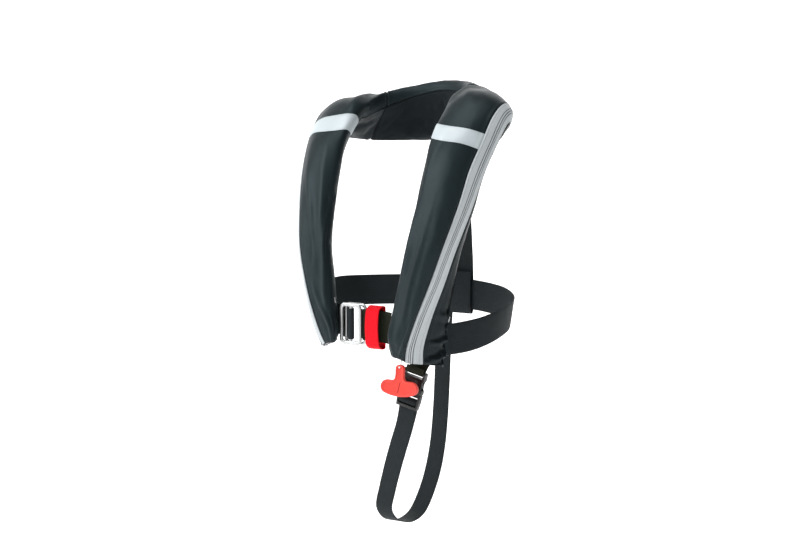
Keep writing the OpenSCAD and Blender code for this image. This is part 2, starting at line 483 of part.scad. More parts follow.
module whistle() color("#f08a1d") oral_frame() translate([12.6, -3, 28]) difference() {
  union() {
    translate([-3.5, -6, 0]) cube([7, 12, 40]);
    translate([-3.5, 0, 0]) rotate([0, 90, 0]) cylinder(r = 6, h = 7);
  }
  for (x = [-2.4, 0.4]) translate([x, -4.4, 8]) cube([2, 8.8, 40]);
  translate([-5, -7, 30]) cube([10, 4.4, 3]);
  translate([-5, 0, -1]) rotate([0, 90, 0]) cylinder(d = 3, h = 12);
}

// ---------- pull cord and toggle ----------
// the cord runs from the lever's tip, through the hem, to the toggle's eye
CORD = [[74, -129.9, -340.8], [70.2, -133.8, -374.4]];
cord_dir = unit(CORD[1] - CORD[0]);
cord_rot = [0, acos(cord_dir[2]), atan2(cord_dir[1], cord_dir[0])];
function cord_at(l) = CORD[0] + l*cord_dir;
cord_l = 35;
module pull_cord() color("#eceeee") skin(tube_rings([for (i = [0:10]) cord_at(i*cord_l/10)], cord_d/2, 8));
eye = cord_at(cord_l + 3.4);
module toggle_frame() translate(eye) rotate([0, 0, 12]) rotate([0, 3, 0]) children();
module pull_toggle() color(coral) toggle_frame() difference() {
  union() {
    rotate([90, 0, 0]) linear_extrude(height = toggle_t, center = true) {
      hull() { translate([0, -1]) circle(r = 4); translate([-4.8, -7]) circle(r = 2.4); translate([4.8, -7]) circle(r = 2.4); }
      translate([-7.2, -22]) square([14.4, 16]);
    }
    rotate([90, 0, 0]) linear_extrude(height = toggle_t, center = true)
      hull() for (x = [-1, 1]) { translate([x*(toggle_w/2 - 11), -32]) circle(r = 11); translate([x*(toggle_w/2 - 13), -34]) circle(r = 11.5); }
  }
  rotate([90, 0, 0]) cylinder(d = 3, h = 20, center = true);
  // sunk faces with a raised rim
  for (y = [-1, 1]) translate([0, y*(toggle_t/2), 0]) rotate([90, 0, 0]) linear_extrude(height = 1.6, center = true)
    hull() for (x = [-1, 1]) translate([x*(toggle_w/2 - 11), -33]) circle(r = 8.4);
}

front_cover_left();
front_cover_right();
back_cover_left();
back_cover_right();
collar_cover();
collar_lining();
hem_panel_left();
hem_panel_right();
reflective_band_left();
reflective_band_right();
zip_tape();
zip_chain();
zip_slider();
zip_pull();
bladder();
waist_belt();
belt_end_left();
belt_end_right();
belt_tunnel_left();
belt_tunnel_right();
back_strap();
crotch_strap_upper();
crotch_strap();
crotch_buckle_socket();
crotch_buckle_clip();
clip_prong_left();
clip_prong_right();
soft_loop();
buckle_ring();
buckle_plate();
inflator_body();
inflator_cap();
inflator_lever();
lever_pin();
piercing_pin();
firing_spring();
safety_clip();
gas_cylinder();
valve_stem();
valve_nut();
oral_tube();
oral_valve();
oral_cap();
whistle();
pull_cord();
pull_toggle();
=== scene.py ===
# Looks of the inflatable life jacket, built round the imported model.
import math, json
import bpy, bmesh
import numpy as np
from mathutils import Vector, Matrix, noise

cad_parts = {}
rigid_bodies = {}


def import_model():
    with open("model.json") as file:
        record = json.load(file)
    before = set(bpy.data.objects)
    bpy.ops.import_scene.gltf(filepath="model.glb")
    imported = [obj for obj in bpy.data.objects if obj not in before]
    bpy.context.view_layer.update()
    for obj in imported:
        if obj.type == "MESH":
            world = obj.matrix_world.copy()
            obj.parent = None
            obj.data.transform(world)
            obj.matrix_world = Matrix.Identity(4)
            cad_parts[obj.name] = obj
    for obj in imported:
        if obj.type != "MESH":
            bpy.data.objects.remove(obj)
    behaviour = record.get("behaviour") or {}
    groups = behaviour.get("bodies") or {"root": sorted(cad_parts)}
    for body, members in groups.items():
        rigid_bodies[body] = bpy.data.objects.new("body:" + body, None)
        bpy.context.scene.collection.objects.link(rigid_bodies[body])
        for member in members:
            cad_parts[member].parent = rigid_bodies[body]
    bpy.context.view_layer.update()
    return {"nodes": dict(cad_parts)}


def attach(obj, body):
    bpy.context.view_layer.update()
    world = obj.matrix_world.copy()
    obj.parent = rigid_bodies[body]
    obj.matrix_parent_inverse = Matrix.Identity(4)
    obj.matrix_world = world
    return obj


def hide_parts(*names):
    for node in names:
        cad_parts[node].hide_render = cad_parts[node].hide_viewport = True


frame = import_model()
NODES = frame["nodes"]
COLL = bpy.context.scene.collection

# ---------------------------------------------------------------- camera
cam_data = bpy.data.cameras.new("camera")
cam_data.lens = 104.5
cam_data.sensor_width = 36
cam_data.clip_end = 60
cam = bpy.data.objects.new("camera", cam_data)
COLL.objects.link(cam)
CAM_AT, CAM_TO = Vector((2.0856, -2.9102, 0.1323)), Vector((-0.0188, -0.0137, -0.2440))
cam.location = CAM_AT
cam.rotation_euler = (CAM_TO - CAM_AT).to_track_quat("-Z", "Y").to_euler()
bpy.context.scene.camera = cam
bpy.context.scene.view_settings.view_transform = "Standard"

# ---------------------------------------------------------------- materials
def new_mat(name):
    m = bpy.data.materials.new(name)
    m.use_nodes = True
    t = m.node_tree
    b = t.nodes["Principled BSDF"]
    return m, t, b


def node(t, kind, **inputs):
    n = t.nodes.new(kind)
    for k, v in inputs.items():
        if k in n.inputs:
            n.inputs[k].default_value = v
        else:
            setattr(n, k, v)
    return n


def col4(c):
    return (c[0], c[1], c[2], 1.0)


def coords(t, attribute=None):
    if attribute:
        a = t.nodes.new("ShaderNodeAttribute")
        a.attribute_name = attribute
        return a.outputs["Vector"]
    return t.nodes.new("ShaderNodeTexCoord").outputs["Object"]


def math_node(t, op, a, b=None):
    n = t.nodes.new("ShaderNodeMath")
    n.operation = op
    for i, v in enumerate((a, b)):
        if v is None:
            continue
        if isinstance(v, (int, float)):
            n.inputs[i].default_value = v
        else:
            t.links.new(v, n.inputs[i])
    return n.outputs[0]


def mix_color(t, fac, a, b):
    n = t.nodes.new("ShaderNodeMix")
    n.data_type = "RGBA"
    for sock, v in ((n.inputs[0], fac), (n.inputs[6], a), (n.inputs[7], b)):
        if isinstance(v, (int, float)):
            sock.default_value = v
        elif isinstance(v, tuple):
            sock.default_value = v
        else:
            t.links.new(v, sock)
    return n.outputs[2]


def ramp(t, fac, stops):
    r = t.nodes.new("ShaderNodeValToRGB")
    e = r.color_ramp.elements
    while len(e) < len(stops):
        e.new(0.5)
    for i, (p, c) in enumerate(stops):
        e[i].position = p
        e[i].color = col4(c) if len(c) == 3 else c
    t.links.new(fac, r.inputs[0])
    return r.outputs[0]


def noise_tex(t, vec, scale, detail=4.0, rough=0.55, dist=0.0):
    n = t.nodes.new("ShaderNodeTexNoise")
    n.inputs["Scale"].default_value = scale
    n.inputs["Detail"].default_value = detail
    n.inputs["Roughness"].default_value = rough
    n.inputs["Distortion"].default_value = dist
    t.links.new(vec, n.inputs["Vector"])
    return n.outputs["Fac"]


def wave(t, vec, period, axis="X"):
    w = t.nodes.new("ShaderNodeTexWave")
    w.bands_direction = axis
    w.inputs["Scale"].default_value = 0.314159 / period
    w.inputs["Distortion"].default_value = 0.0
    t.links.new(vec, w.inputs["Vector"])
    return w.outputs["Fac"]


def bump(t, b, height, distance, strength=1.0, after=None):
    n = t.nodes.new("ShaderNodeBump")
    n.inputs["Strength"].default_value = strength
    n.inputs["Distance"].default_value = distance
    t.links.new(height, n.inputs["Height"])
    if after is not None:
        t.links.new(after, n.inputs["Normal"])
    t.links.new(n.outputs[0], b.inputs["Normal"])
    return n.outputs[0]


def nylon(name, dark, light, rough=0.5, sheen=0.25, spec=0.35, coat=0.0):
    """Smooth coated woven nylon: fine plain weave, faint mottling, soft creases."""
    m, t, b = new_mat(name)
    v, c = coords(t), coords(t, "cloth")
    big = noise_tex(t, v, 9.0, 5.0, 0.6)
    fine = noise_tex(t, v, 420.0, 3.0, 0.6)
    weave = math_node(t, "MULTIPLY", wave(t, c, 0.0011, "X"), wave(t, c, 0.0011, "Y"))
    base = mix_color(t, math_node(t, "ADD", math_node(t, "MULTIPLY", big, 0.85), math_node(t, "MULTIPLY", weave, 0.15)), col4(dark), col4(light))
    t.links.new(base, b.inputs["Base Color"])
    rr = math_node(t, "ADD", math_node(t, "MULTIPLY", fine, 0.16), rough - 0.08)
    t.links.new(rr, b.inputs["Roughness"])
    b.inputs["Specular IOR Level"].default_value = spec
    b.inputs["Specular Tint"].default_value = (0.72, 0.92, 1.0, 1)
    b.inputs["Sheen Weight"].default_value = sheen
    b.inputs["Sheen Roughness"].default_value = 0.4
    b.inputs["Sheen Tint"].default_value = (0.75, 0.86, 0.92, 1)
    b.inputs["Coat Weight"].default_value = coat
    b.inputs["Coat Roughness"].default_value = 0.35
    n1 = bump(t, b, weave, 0.00012, 0.5)
    bump(t, b, noise_tex(t, v, 60.0, 4.0, 0.6, 0.4), 0.0009, 0.35, n1)
    return m


def webbing_mat(name, dark, light, rib=0.0015, rough=0.62, sheen=0.2, edge=None, tint=(0.8, 0.88, 0.9, 1)):
    """Woven tape: staggered ribs across, thread columns along, paler edges when an edge colour is given."""
    m, t, b = new_mat(name)
    c, v = coords(t, "cloth"), coords(t)
    sep = t.nodes.new("ShaderNodeSeparateXYZ")
    t.links.new(c, sep.inputs[0])
    col = wave(t, c, 0.0032, "X")
    shift = t.nodes.new("ShaderNodeCombineXYZ")
    t.links.new(sep.outputs[0], shift.inputs[0])
    t.links.new(math_node(t, "ADD", sep.outputs[1], math_node(t, "MULTIPLY", math_node(t, "PINGPONG", sep.outputs[0], 0.0016), 0.6)), shift.inputs[1])
    ribs = wave(t, shift.outputs[0], rib, "Y")
    h = math_node(t, "ADD", math_node(t, "MULTIPLY", ribs, 0.7), math_node(t, "MULTIPLY", col, 0.3))
    mott = noise_tex(t, v, 55.0, 5.0, 0.65)
    fac = math_node(t, "ADD", math_node(t, "MULTIPLY", h, 0.55), math_node(t, "MULTIPLY", mott, 0.45))
    base = mix_color(t, fac, col4(dark), col4(light))
    if edge is not None:
        e = math_node(t, "GREATER_THAN", sep.outputs[2], 0.5)
        base = mix_color(t, math_node(t, "MULTIPLY", e, 0.6), base, col4(edge))
    t.links.new(base, b.inputs["Base Color"])
    t.links.new(math_node(t, "ADD", math_node(t, "MULTIPLY", mott, 0.2), rough - 0.1), b.inputs["Roughness"])
    b.inputs["Specular IOR Level"].default_value = 0.12
    b.inputs["Sheen Weight"].default_value = sheen
    b.inputs["Sheen Roughness"].default_value = 0.35
    b.inputs["Sheen Tint"].default_value = tint
    bump(t, b, h, 0.00035, 0.8)
    return m


def plastic(name, color, rough=0.4, speck=0.06, spec=0.5, sss=0.0, edge_highlight=None):
    """Moulded plastic: fine spark-eroded texture, slightly uneven gloss, painted highlight on its convex edges."""
    m, t, b = new_mat(name)
    v = coords(t)
    big = noise_tex(t, v, 30.0, 4.0, 0.6)
    fine = noise_tex(t, v, 1400.0, 2.0, 0.5)
    hi = tuple(min(1, x * (1 + 2.2 * speck) + 0.4 * speck * 0.1) for x in color)
    lo = tuple(x * (1 - 1.6 * speck) for x in color)
    base = mix_color(t, big, col4(lo), col4(hi))
    # painted highlight: sharp convex edges (high pointiness) are mixed toward a paler colour
    if edge_highlight is not None:
        g = t.nodes.new("ShaderNodeNewGeometry")
        e = ramp(t, g.outputs["Pointiness"], [(0.52, (0, 0, 0)), (0.62, (1, 1, 1))])
        base = mix_color(t, math_node(t, "MULTIPLY", e, 0.5), base, col4(edge_highlight))
    t.links.new(base, b.inputs["Base Color"])
    t.links.new(math_node(t, "ADD", math_node(t, "MULTIPLY", big, 0.16), rough - 0.08), b.inputs["Roughness"])
    b.inputs["Specular IOR Level"].default_value = spec
    b.inputs["Subsurface Weight"].default_value = sss
    b.inputs["Subsurface Radius"].default_value = (0.004, 0.001, 0.001)
    bump(t, b, fine, 0.00004, 0.5)
    return m


def metal(name, color, rough=0.28, brushed=(1, 1, 12), grime=None):
    """Tumbled steel: short satin scratches, faint clouding."""
    m, t, b = new_mat(name)
    v = coords(t)
    mp = node(t, "ShaderNodeMapping")
    mp.inputs["Scale"].default_value = brushed
    t.links.new(v, mp.inputs["Vector"])
    scr = noise_tex(t, mp.outputs[0], 260.0, 3.0, 0.7)
    big = noise_tex(t, v, 40.0, 3.0, 0.5)
    base = mix_color(t, big, col4(tuple(x * 0.93 for x in color)), col4(color))
    if grime is not None:
        base = mix_color(t, ramp(t, big, [(0.55, (0, 0, 0)), (0.8, (0.6, 0.6, 0.6))]), base, col4(grime))
    t.links.new(base, b.inputs["Base Color"])
    b.inputs["Metallic"].default_value = 1.0
    t.links.new(math_node(t, "ADD", math_node(t, "MULTIPLY", scr, 0.22), rough - 0.1), b.inputs["Roughness"])
    bump(t, b, scr, 0.00003, 0.5)
    return m


def reflective_mat(name):
    """Silver retroreflective film: glass-bead grain over a faint sealed lattice."""
    m, t, b = new_mat(name)
    v, c = coords(t), coords(t, "cloth")
    bead = noise_tex(t, v, 2600.0, 2.0, 0.5)
    soft = noise_tex(t, v, 22.0, 4.0, 0.6)
    mp = node(t, "ShaderNodeMapping")
    mp.inputs["Rotation"].default_value = (0, 0, math.radians(45))
    t.links.new(c, mp.inputs["Vector"])
    lat = math_node(t, "MAXIMUM", wave(t, mp.outputs[0], 0.006, "X"), wave(t, mp.outputs[0], 0.006, "Y"))
    line = ramp(t, lat, [(0.965, (0, 0, 0)), (1.0, (1, 1, 1))])
    base = mix_color(t, soft, col4((0.44, 0.495, 0.52)), col4((0.53, 0.59, 0.615)))
    base = mix_color(t, math_node(t, "MULTIPLY", line, 0.12), base, col4((0.42, 0.46, 0.48)))
    t.links.new(base, b.inputs["Base Color"])
    t.links.new(math_node(t, "ADD", math_node(t, "MULTIPLY", bead, 0.2), 0.34), b.inputs["Roughness"])
    b.inputs["Metallic"].default_value = 0.12
    n1 = bump(t, b, bead, 0.00003, 0.5)
    bump(t, b, line, 0.00008, 0.4, n1)
    return m


def tape_mat(name):
    """Knitted light grey zip tape: fine twill, with painted shade in its grooves."""
    m, t, b = new_mat(name)
    c, v = coords(t, "cloth"), coords(t)
    mp = node(t, "ShaderNodeMapping")
    mp.inputs["Rotation"].default_value = (0, 0, math.radians(32))
    t.links.new(c, mp.inputs["Vector"])
    twill = wave(t, mp.outputs[0], 0.0016, "Y")
    sep = t.nodes.new("ShaderNodeSeparateXYZ")
    t.links.new(c, sep.inputs[0])
    mott = noise_tex(t, v, 300.0, 4.0, 0.6)
    base = mix_color(t, math_node(t, "ADD", math_node(t, "MULTIPLY", twill, 0.5), math_node(t, "MULTIPLY", mott, 0.5)), col4((0.36, 0.395, 0.41)), col4((0.56, 0.60, 0.615)))
    # painted shade: near-black mixed in where the cloth attribute's z marks a groove
    base = mix_color(t, sep.outputs[2], base, col4((0.045, 0.052, 0.06)))
    t.links.new(base, b.inputs["Base Color"])
    b.inputs["Roughness"].default_value = 0.6
    b.inputs["Sheen Weight"].default_value = 0.15
    bump(t, b, twill, 0.0002, 0.6)
    return m


def cord_mat(name):
    m, t, b = new_mat(name)
    v = coords(t, "cloth")
    mp = node(t, "ShaderNodeMapping")
    mp.inputs["Rotation"].default_value = (0, 0, math.radians(38))
    t.links.new(v, mp.inputs["Vector"])
    a = wave(t, mp.outputs[0], 0.0011, "X")
    mp2 = node(t, "ShaderNodeMapping")
    mp2.inputs["Rotation"].default_value = (0, 0, math.radians(-38))
    t.links.new(v, mp2.inputs["Vector"])
    bb = wave(t, mp2.outputs[0], 0.0011, "X")
    h = math_node(t, "MAXIMUM", a, bb)
    base = mix_color(t, h, col4((0.45, 0.46, 0.45)), col4((0.82, 0.83, 0.81)))
    t.links.new(base, b.inputs["Base Color"])
    b.inputs["Roughness"].default_value = 0.55
    bump(t, b, h, 0.0002, 0.8)
    return m


MAT = {
    "cover": nylon("cover_nylon", (0.0035, 0.0068, 0.0078), (0.0095, 0.0155, 0.0172), 0.42, 0.03, 0.24),
    "side": nylon("side_nylon", (0.0010, 0.0016, 0.0019), (0.0028, 0.0038, 0.0042), 0.33, 0.0, 0.26),
    "lining": nylon("soft_lining", (0.006, 0.0075, 0.0085), (0.013, 0.016, 0.0175), 0.8, 0.1, 0.15),
    "bladder": nylon("bladder_nylon", (0.72, 0.30, 0.010), (0.86, 0.42, 0.022), 0.36, 0.1, 0.5),
    "webbing": webbing_mat("webbing_black", (0.005, 0.007, 0.008), (0.022, 0.029, 0.032), sheen=0.03),
    "olive": webbing_mat("webbing_olive", (0.006, 0.008, 0.004), (0.024, 0.029, 0.017), sheen=0.03, tint=(0.85, 0.9, 0.75, 1)),
    "red": webbing_mat("red_tape", (0.60, 0.001, 0.006), (0.84, 0.003, 0.018), rib=0.0009, rough=0.6, sheen=0.0, tint=(1, 0.6, 0.6, 1)),
    "band": reflective_mat("reflective_film"),
    "tape": tape_mat("zip_tape_knit"),
    "chain": plastic("zip_coil_grey", (0.085, 0.10, 0.105), 0.45),
    "slider": metal("zip_lacquer", (0.14, 0.15, 0.16), 0.35),
    "steel": metal("tumbled_steel", (0.50, 0.51, 0.51), 0.36),
    # the coral and black plastics get a painted highlight on their convex edges
    "coral": plastic("coral_plastic", (0.70, 0.055, 0.040), 0.45, 0.10, 0.25, 0.04, edge_highlight=(0.82, 0.13, 0.11)),
    # painted shade: a darker coral for the walls of the toggle's cut grooves and eye hole
    "coral_painted_shade": plastic("coral_groove_painted_shade", (0.36, 0.012, 0.010), 0.5, 0.1, 0.3),
    "black": plastic("black_acetal", (0.0045, 0.005, 0.005), 0.34, 0.2, 0.4, edge_highlight=(0.02, 0.02, 0.02)),
    "white": plastic("white_plastic", (0.74, 0.75, 0.75), 0.4),
    "yellow": plastic("yellow_plastic", (0.82, 0.56, 0.03), 0.38),
    "redp": plastic("red_plastic", (0.72, 0.02, 0.015), 0.3),
    "green": plastic("green_plastic", (0.03, 0.46, 0.09), 0.42),
    "orange": plastic("orange_plastic", (0.90, 0.28, 0.015), 0.28),
    "gas": metal("gas_coat", (0.50, 0.52, 0.53), 0.34),
    "cord": cord_mat("cord_braid"),
    "thread": webbing_mat("thread_dark", (0.02, 0.024, 0.026), (0.075, 0.085, 0.09), rib=0.0008),
    "thread_white": webbing_mat("thread_white", (0.55, 0.57, 0.57), (0.85, 0.87, 0.87), rib=0.0008),
    "print": nylon("pale_print", (0.58, 0.62, 0.64), (0.68, 0.72, 0.74), 0.5, 0.0, 0.3),
}

# ---------------------------------------------------------------- mesh helpers (millimetres in, metres out)
def link_mesh(name, v, f, body, mat, cloth=None, smooth=True, sharp=None):
    me = bpy.data.meshes.new(name)
    me.from_pydata((np.asarray(v, float) / 1000).tolist(), [], [tuple(int(i) for i in q) for q in f])
    me.update()
    if cloth is not None:
        a = me.attributes.new("cloth", "FLOAT_VECTOR", "POINT")
        a.data.foreach_set("vector", np.asarray(cloth, np.float32).ravel())
    me.polygons.foreach_set("use_smooth", [smooth] * len(me.polygons))
    if sharp:
        bm = bmesh.new()
        bm.from_mesh(me)
        for e in bm.edges:
            if len(e.link_faces) == 2 and e.calc_face_angle(0) > math.radians(sharp):
                e.smooth = False
        bm.to_mesh(me)
        bm.free()
    o = bpy.data.objects.new(name, me)
    COLL.objects.link(o)
    o.data.materials.append(MAT[mat] if isinstance(mat, str) else mat)
    if body:
        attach(o, body)
    return o


def outward(o):
    """Makes a closed piece's faces point outward."""
    bm = bmesh.new()
    bm.from_mesh(o.data)
    bmesh.ops.recalc_face_normals(bm, faces=bm.faces)
    bm.to_mesh(o.data)
    bm.free()
    return o


def grid_quads(n, m, wrap=False, off=0, flip=False):
    out = []
    for i in range(n - 1):
        for j in range(m if wrap else m - 1):
            k = (j + 1) % m
            q = (off + i * m + j, off + i * m + k, off + (i + 1) * m + k, off + (i + 1) * m + j)
            out.append(q[::-1] if flip else q)
    return out


def slab(name, P, Q, body, mat, cloth=None, sharp=None):
    """Closed sheet between outer grid P and inner grid Q (n, m, 3)."""
    n, m = P.shape[:2]
    o = n * m
    f = grid_quads(n, m) + grid_quads(n, m, off=o, flip=True)
    for i in range(n - 1):
        f.append((i * m, (i + 1) * m, o + (i + 1) * m, o + i * m))
        f.append((i * m + m - 1, o + i * m + m - 1, o + (i + 1) * m + m - 1, (i + 1) * m + m - 1))
    for j in range(m - 1):
        f.append((j, o + j, o + j + 1, j + 1))
        k = (n - 1) * m + j
        f.append((k, k + 1, o + k + 1, o + k))
    v = np.concatenate([P.reshape(-1, 3), Q.reshape(-1, 3)])
    c = None if cloth is None else np.concatenate([cloth.reshape(-1, 3)] * 2)
    ob = link_mesh(name, v, f, body, mat, c, True, sharp)
    return outward(ob)


def unit(a):
    a = np.asarray(a, float)
    return a / np.maximum(np.linalg.norm(a, axis=-1, keepdims=True), 1e-12)


def spline(P, step):
    """Evenly spaced points, about step mm apart, on a smooth curve through P; also the station of each."""
    P = np.asarray(P, float)
    t = np.linspace(0, len(P) - 1, (len(P) - 1) * 24 + 1)
    X = np.array([cr(P, x) for x in t])
    L = np.concatenate([[0], np.cumsum(np.linalg.norm(np.diff(X, axis=0), axis=1))])
    k = max(2, int(round(L[-1] / step)))
    s = np.linspace(0, L[-1], k + 1)
    tt = np.interp(s, L, t)
    return np.array([cr(P, x) for x in tt]), s, tt


def cr(P, t):
    n = len(P)
    i = int(min(max(math.floor(t), 0), n - 2))
    f = t - i
    p1, p2 = P[i], P[i + 1]
    p0 = P[i - 1] if i > 0 else 2 * p1 - p2
    p3 = P[i + 2] if i + 2 < n else 2 * p2 - p1
    return 0.5 * (2 * p1 + (p2 - p0) * f + (2 * p0 - 5 * p1 + 4 * p2 - p3) * f * f + (3 * p1 - p0 - 3 * p2 + p3) * f ** 3)


def ribbon(name, P, W, width, thick, body, mat, step=2.5, wavy=0.0, seed=0, closed=False, edge_r=None):
    """Flat webbing along P with width direction W at each given point; rounded woven edges."""
    P = np.asarray(P, float)
    if closed:
        X, s, tt = spline(np.vstack([P[-2:], P, P[:3]]), step)
        keep = (tt >= 2) & (tt < 2 + len(P))
        X, s = X[keep], s[keep]
        Wd = np.tile(np.asarray(W, float), (len(X), 1))
        T = unit(np.roll(X, -1, 0) - np.roll(X, 1, 0))
    else:
        X, s, tt = spline(P, step)
        W = np.asarray(W, float)
        Wd = np.array([cr(W, x) for x in tt]) if W.ndim == 2 else np.tile(W, (len(X), 1))
        T = np.zeros_like(X)
        T[1:-1] = X[2:] - X[:-2]
        T[0], T[-1] = X[1] - X[0], X[-1] - X[-2]
        T = unit(T)
    N = unit(np.cross(T, Wd))
    U = unit(np.cross(N, T))
    w, h = width / 2, thick / 2
    nx = 9
    xs = np.linspace(-w + h, w - h, nx)
    prof = [(x, h) for x in xs] + [(w - h * 0.3, h * 0.72), (w, 0), (w - h * 0.3, -h * 0.72)]
    prof += [(x, -h) for x in xs[::-1]] + [(-w + h * 0.3, -h * 0.72), (-w, 0), (-w + h * 0.3, h * 0.72)]
    prof = np.array(prof)
    m = len(prof)
    V = X[:, None, :] + prof[None, :, 0, None] * U[:, None, :] + prof[None, :, 1, None] * N[:, None, :]
    if wavy:
        for i in range(len(X)):
            for j in range(m):
                x = prof[j, 0]
                d = noise.noise(Vector((s[i] / 34 + seed, x / 26, seed * 3.1))) + 0.5 * noise.noise(Vector((s[i] / 13 + seed, x / 18, 7.7)))
                V[i, j] += wavy * d * N[i]
    cloth = np.zeros((len(X), m, 3))
    cloth[:, :, 0] = (prof[None, :, 0] + 0.0) / 1000
    cloth[:, :, 1] = s[:, None] / 1000
    cloth[:, :, 2] = (np.abs(prof[None, :, 0]) > w - 0.9) * 1.0
    n = len(X)
    f = grid_quads(n, m, wrap=True)
    if closed:
        f += [((n - 1) * m + j, (n - 1) * m + (j + 1) % m, (j + 1) % m, j) for j in range(m)]
    else:
        f += [tuple(range(m))[::-1], tuple((n - 1) * m + j for j in range(m))]
    return outward(link_mesh(name, V.reshape(-1, 3), f, body, mat, cloth.reshape(-1, 3), True, 50))


def sweep(name, X, A, B, prof, body, mat, closed=True, cloth=None):
    """Sweeps a closed profile (k, 2) along X with in-section axes A and B."""
    prof = np.asarray(prof, float)
    m, n = len(prof), len(X)
    V = X[:, None, :] + prof[None, :, 0, None] * A[:, None, :] + prof[None, :, 1, None] * B[:, None, :]
    f = grid_quads(n, m, wrap=True)
    if closed:
        f += [((n - 1) * m + j, (n - 1) * m + (j + 1) % m, (j + 1) % m, j) for j in range(m)]
    else:
        f += [tuple(range(m))[::-1], tuple((n - 1) * m + j for j in range(m))]
    return outward(link_mesh(name, V.reshape(-1, 3), f, body, mat, cloth, True, 60))


def tube(name, P, r, body, mat, step=1.5, k=14, closed=False, strands=0):
    X, s, tt = spline(P, step)
    T = np.gradient(X, axis=0)
    T = unit(T)
    a = unit(np.cross(T, np.array([0.31, 0.9, 0.17])))
    b = np.cross(T, a)
    ang = np.arange(k) * 2 * math.pi / k
    V = X[:, None, :] + r * (np.cos(ang)[None, :, None] * a[:, None, :] + np.sin(ang)[None, :, None] * b[:, None, :])
    cloth = np.zeros((len(X), k, 3))
    cloth[:, :, 0] = (ang * r)[None, :] / 1000
    cloth[:, :, 1] = s[:, None] / 1000
    n = len(X)
    f = grid_quads(n, k, wrap=True) + [tuple(range(k))[::-1], tuple((n - 1) * k + j for j in range(k))]
    return outward(link_mesh(name, V.reshape(-1, 3), f, body, mat, cloth.reshape(-1, 3), True, 60))


def join(name, obs, body):
    """One piece out of several closed shells with the same material."""
    bpy.context.view_layer.update()
    bm = bmesh.new()
    for o in obs:
        bm.from_mesh(o.data)
    me = bpy.data.meshes.new(name)
    bm.to_mesh(me)
    bm.free()
    mats = []
    for o in obs:
        for mt in o.data.materials:
            if mt not in mats:
                mats.append(mt)
    ob = bpy.data.objects.new(name, me)
    for mt in mats[:1]:
        me.materials.append(mt)
    COLL.objects.link(ob)
    for o in obs:
        bpy.data.objects.remove(o)
    if body:
        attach(ob, body)
    return ob


def frame_of(at, R):
    """Function taking local millimetres to the row frame."""
    at, R = np.asarray(at, float), np.asarray(R, float)
    return lambda p: at + np.asarray(p, float) @ R.T


def rot(axis, deg):
    return np.array(Matrix.Rotation(math.radians(deg), 3, axis))


def rounded_box(name, lo, hi, r, fr, body, mat, seg=3):
    """Box with rounded edges in a local frame."""
    bm = bmesh.new()
    bmesh.ops.create_cube(bm, size=1)
    lo, hi = np.asarray(lo, float), np.asarray(hi, float)
    for v in bm.verts:
        v.co = Vector(lo + (np.array(v.co) + 0.5) * (hi - lo))
    bmesh.ops.bevel(bm, geom=list(bm.edges), offset=r, segments=seg, profile=0.5, affect="EDGES")
    vs = [fr(v.co) for v in bm.verts]
    fs = [[v.index for v in f.verts] for f in bm.faces]
    bm.free()
    return outward(link_mesh(name, vs, fs, body, mat, None, True, 50))


# ---------------------------------------------------------------- pull cord (first, with the camera)
CORD_A, CORD_B = np.array([74, -129.9, -340.8]), np.array([70.2, -133.8, -374.4])
CD = unit(CORD_B - CORD_A)
cord_pts = [CORD_A + CD * l + np.array([0.5, -0.2, 0]) * math.sin(l / 35 * math.pi) for l in np.linspace(0, 35, 24)]
cord_piece = tube("pull_cord_braid", cord_pts, 1.0, "cord", "cord", step=0.8, k=16)
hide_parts("pull_cord")
EYE = CORD_A + CD * 38.4

# ---------------------------------------------------------------- the padded cover
ZIP_W, COVER_T = 23.0, 1.6
LOBE = [
    [[0, 82, 30], [0, 118, -38], [0, 96, -50], [13, 8, 0]],
    [[50, 70, 29], [72, 104, -32], [60, 84, -46], [14, 8, 0]],
    [[84, 38, 25], [134, 62, -14], [122, 48, -40], [16, 9, 0]],
    [[96, 4, 18], [170, 10, 0], [162, 4, -32], [18, 10, 0]],
    [[100, -26, 6], [174, -16, -8], [166, -8, -40], [18, 10, 0]],
    [[99, -66, -40], [171, -41, -42], [160, -16, -52], [18, 11, 0]],
    [[98, -86, -88], [164, -68, -90], [158, -44, -92], [18, 11, 0]],
    [[96, -102, -140], [154, -88, -142], [151, -54, -142], [18, 11, 0]],
    [[90, -119, -200], [137, -108, -204], [139, -67, -204], [18, 11, 0]],
    [[81, -125, -250], [121, -118, -254], [129, -73, -256], [18, 10, 0]],
    [[74, -129, -298], [102, -126, -302], [119, -76, -306], [18, 8, 0]],
    [[65, -132, -338], [87, -130, -346], [113, -78, -352], [16, 5, 0]],
    [[61, -133, -366], [82, -128, -374], [111, -82, -380], [7, 2, 0]]]
DROP = [0, 8, 14, 15, 11, 5, 0, 0, 0, 0, -3, -8, -13]
chain = []
for k in range(12, 0, -1):
    a = [np.array([-LOBE[k][j][0], LOBE[k][j][1], LOBE[k][j][2] - DROP[k]], float) for j in range(3)]
    chain.append(a + [np.array(LOBE[k][3], float)])
for k in range(13):
    chain.append([np.array(x, float) for x in LOBE[k]])
CI, CZ, CE, CR = (np.array([c[i] for c in chain]) for i in range(4))


def sec(s):
    I, Z, E, rc = cr(CI, s), cr(CZ, s), cr(CE, s), cr(CR, s)
    a, b = max(min(s, 24) - 0.05, 0), min(max(s, 0) + 0.05, 24)
    T = unit(cr(CI, b) + cr(CZ, b) + cr(CE, b) - cr(CI, a) - cr(CZ, a) - cr(CE, a))
    w = unit((Z + E) / 2 - I)
    n = unit(np.cross(T, w))
    u = np.cross(n, T)
    A, G, B = I - rc[0] * n, I - rc[0] * u, I + rc[0] * n
    return np.array([A, G, B, (B + Z) / 2 + rc[1] * n, Z, E, (A + E) / 2])


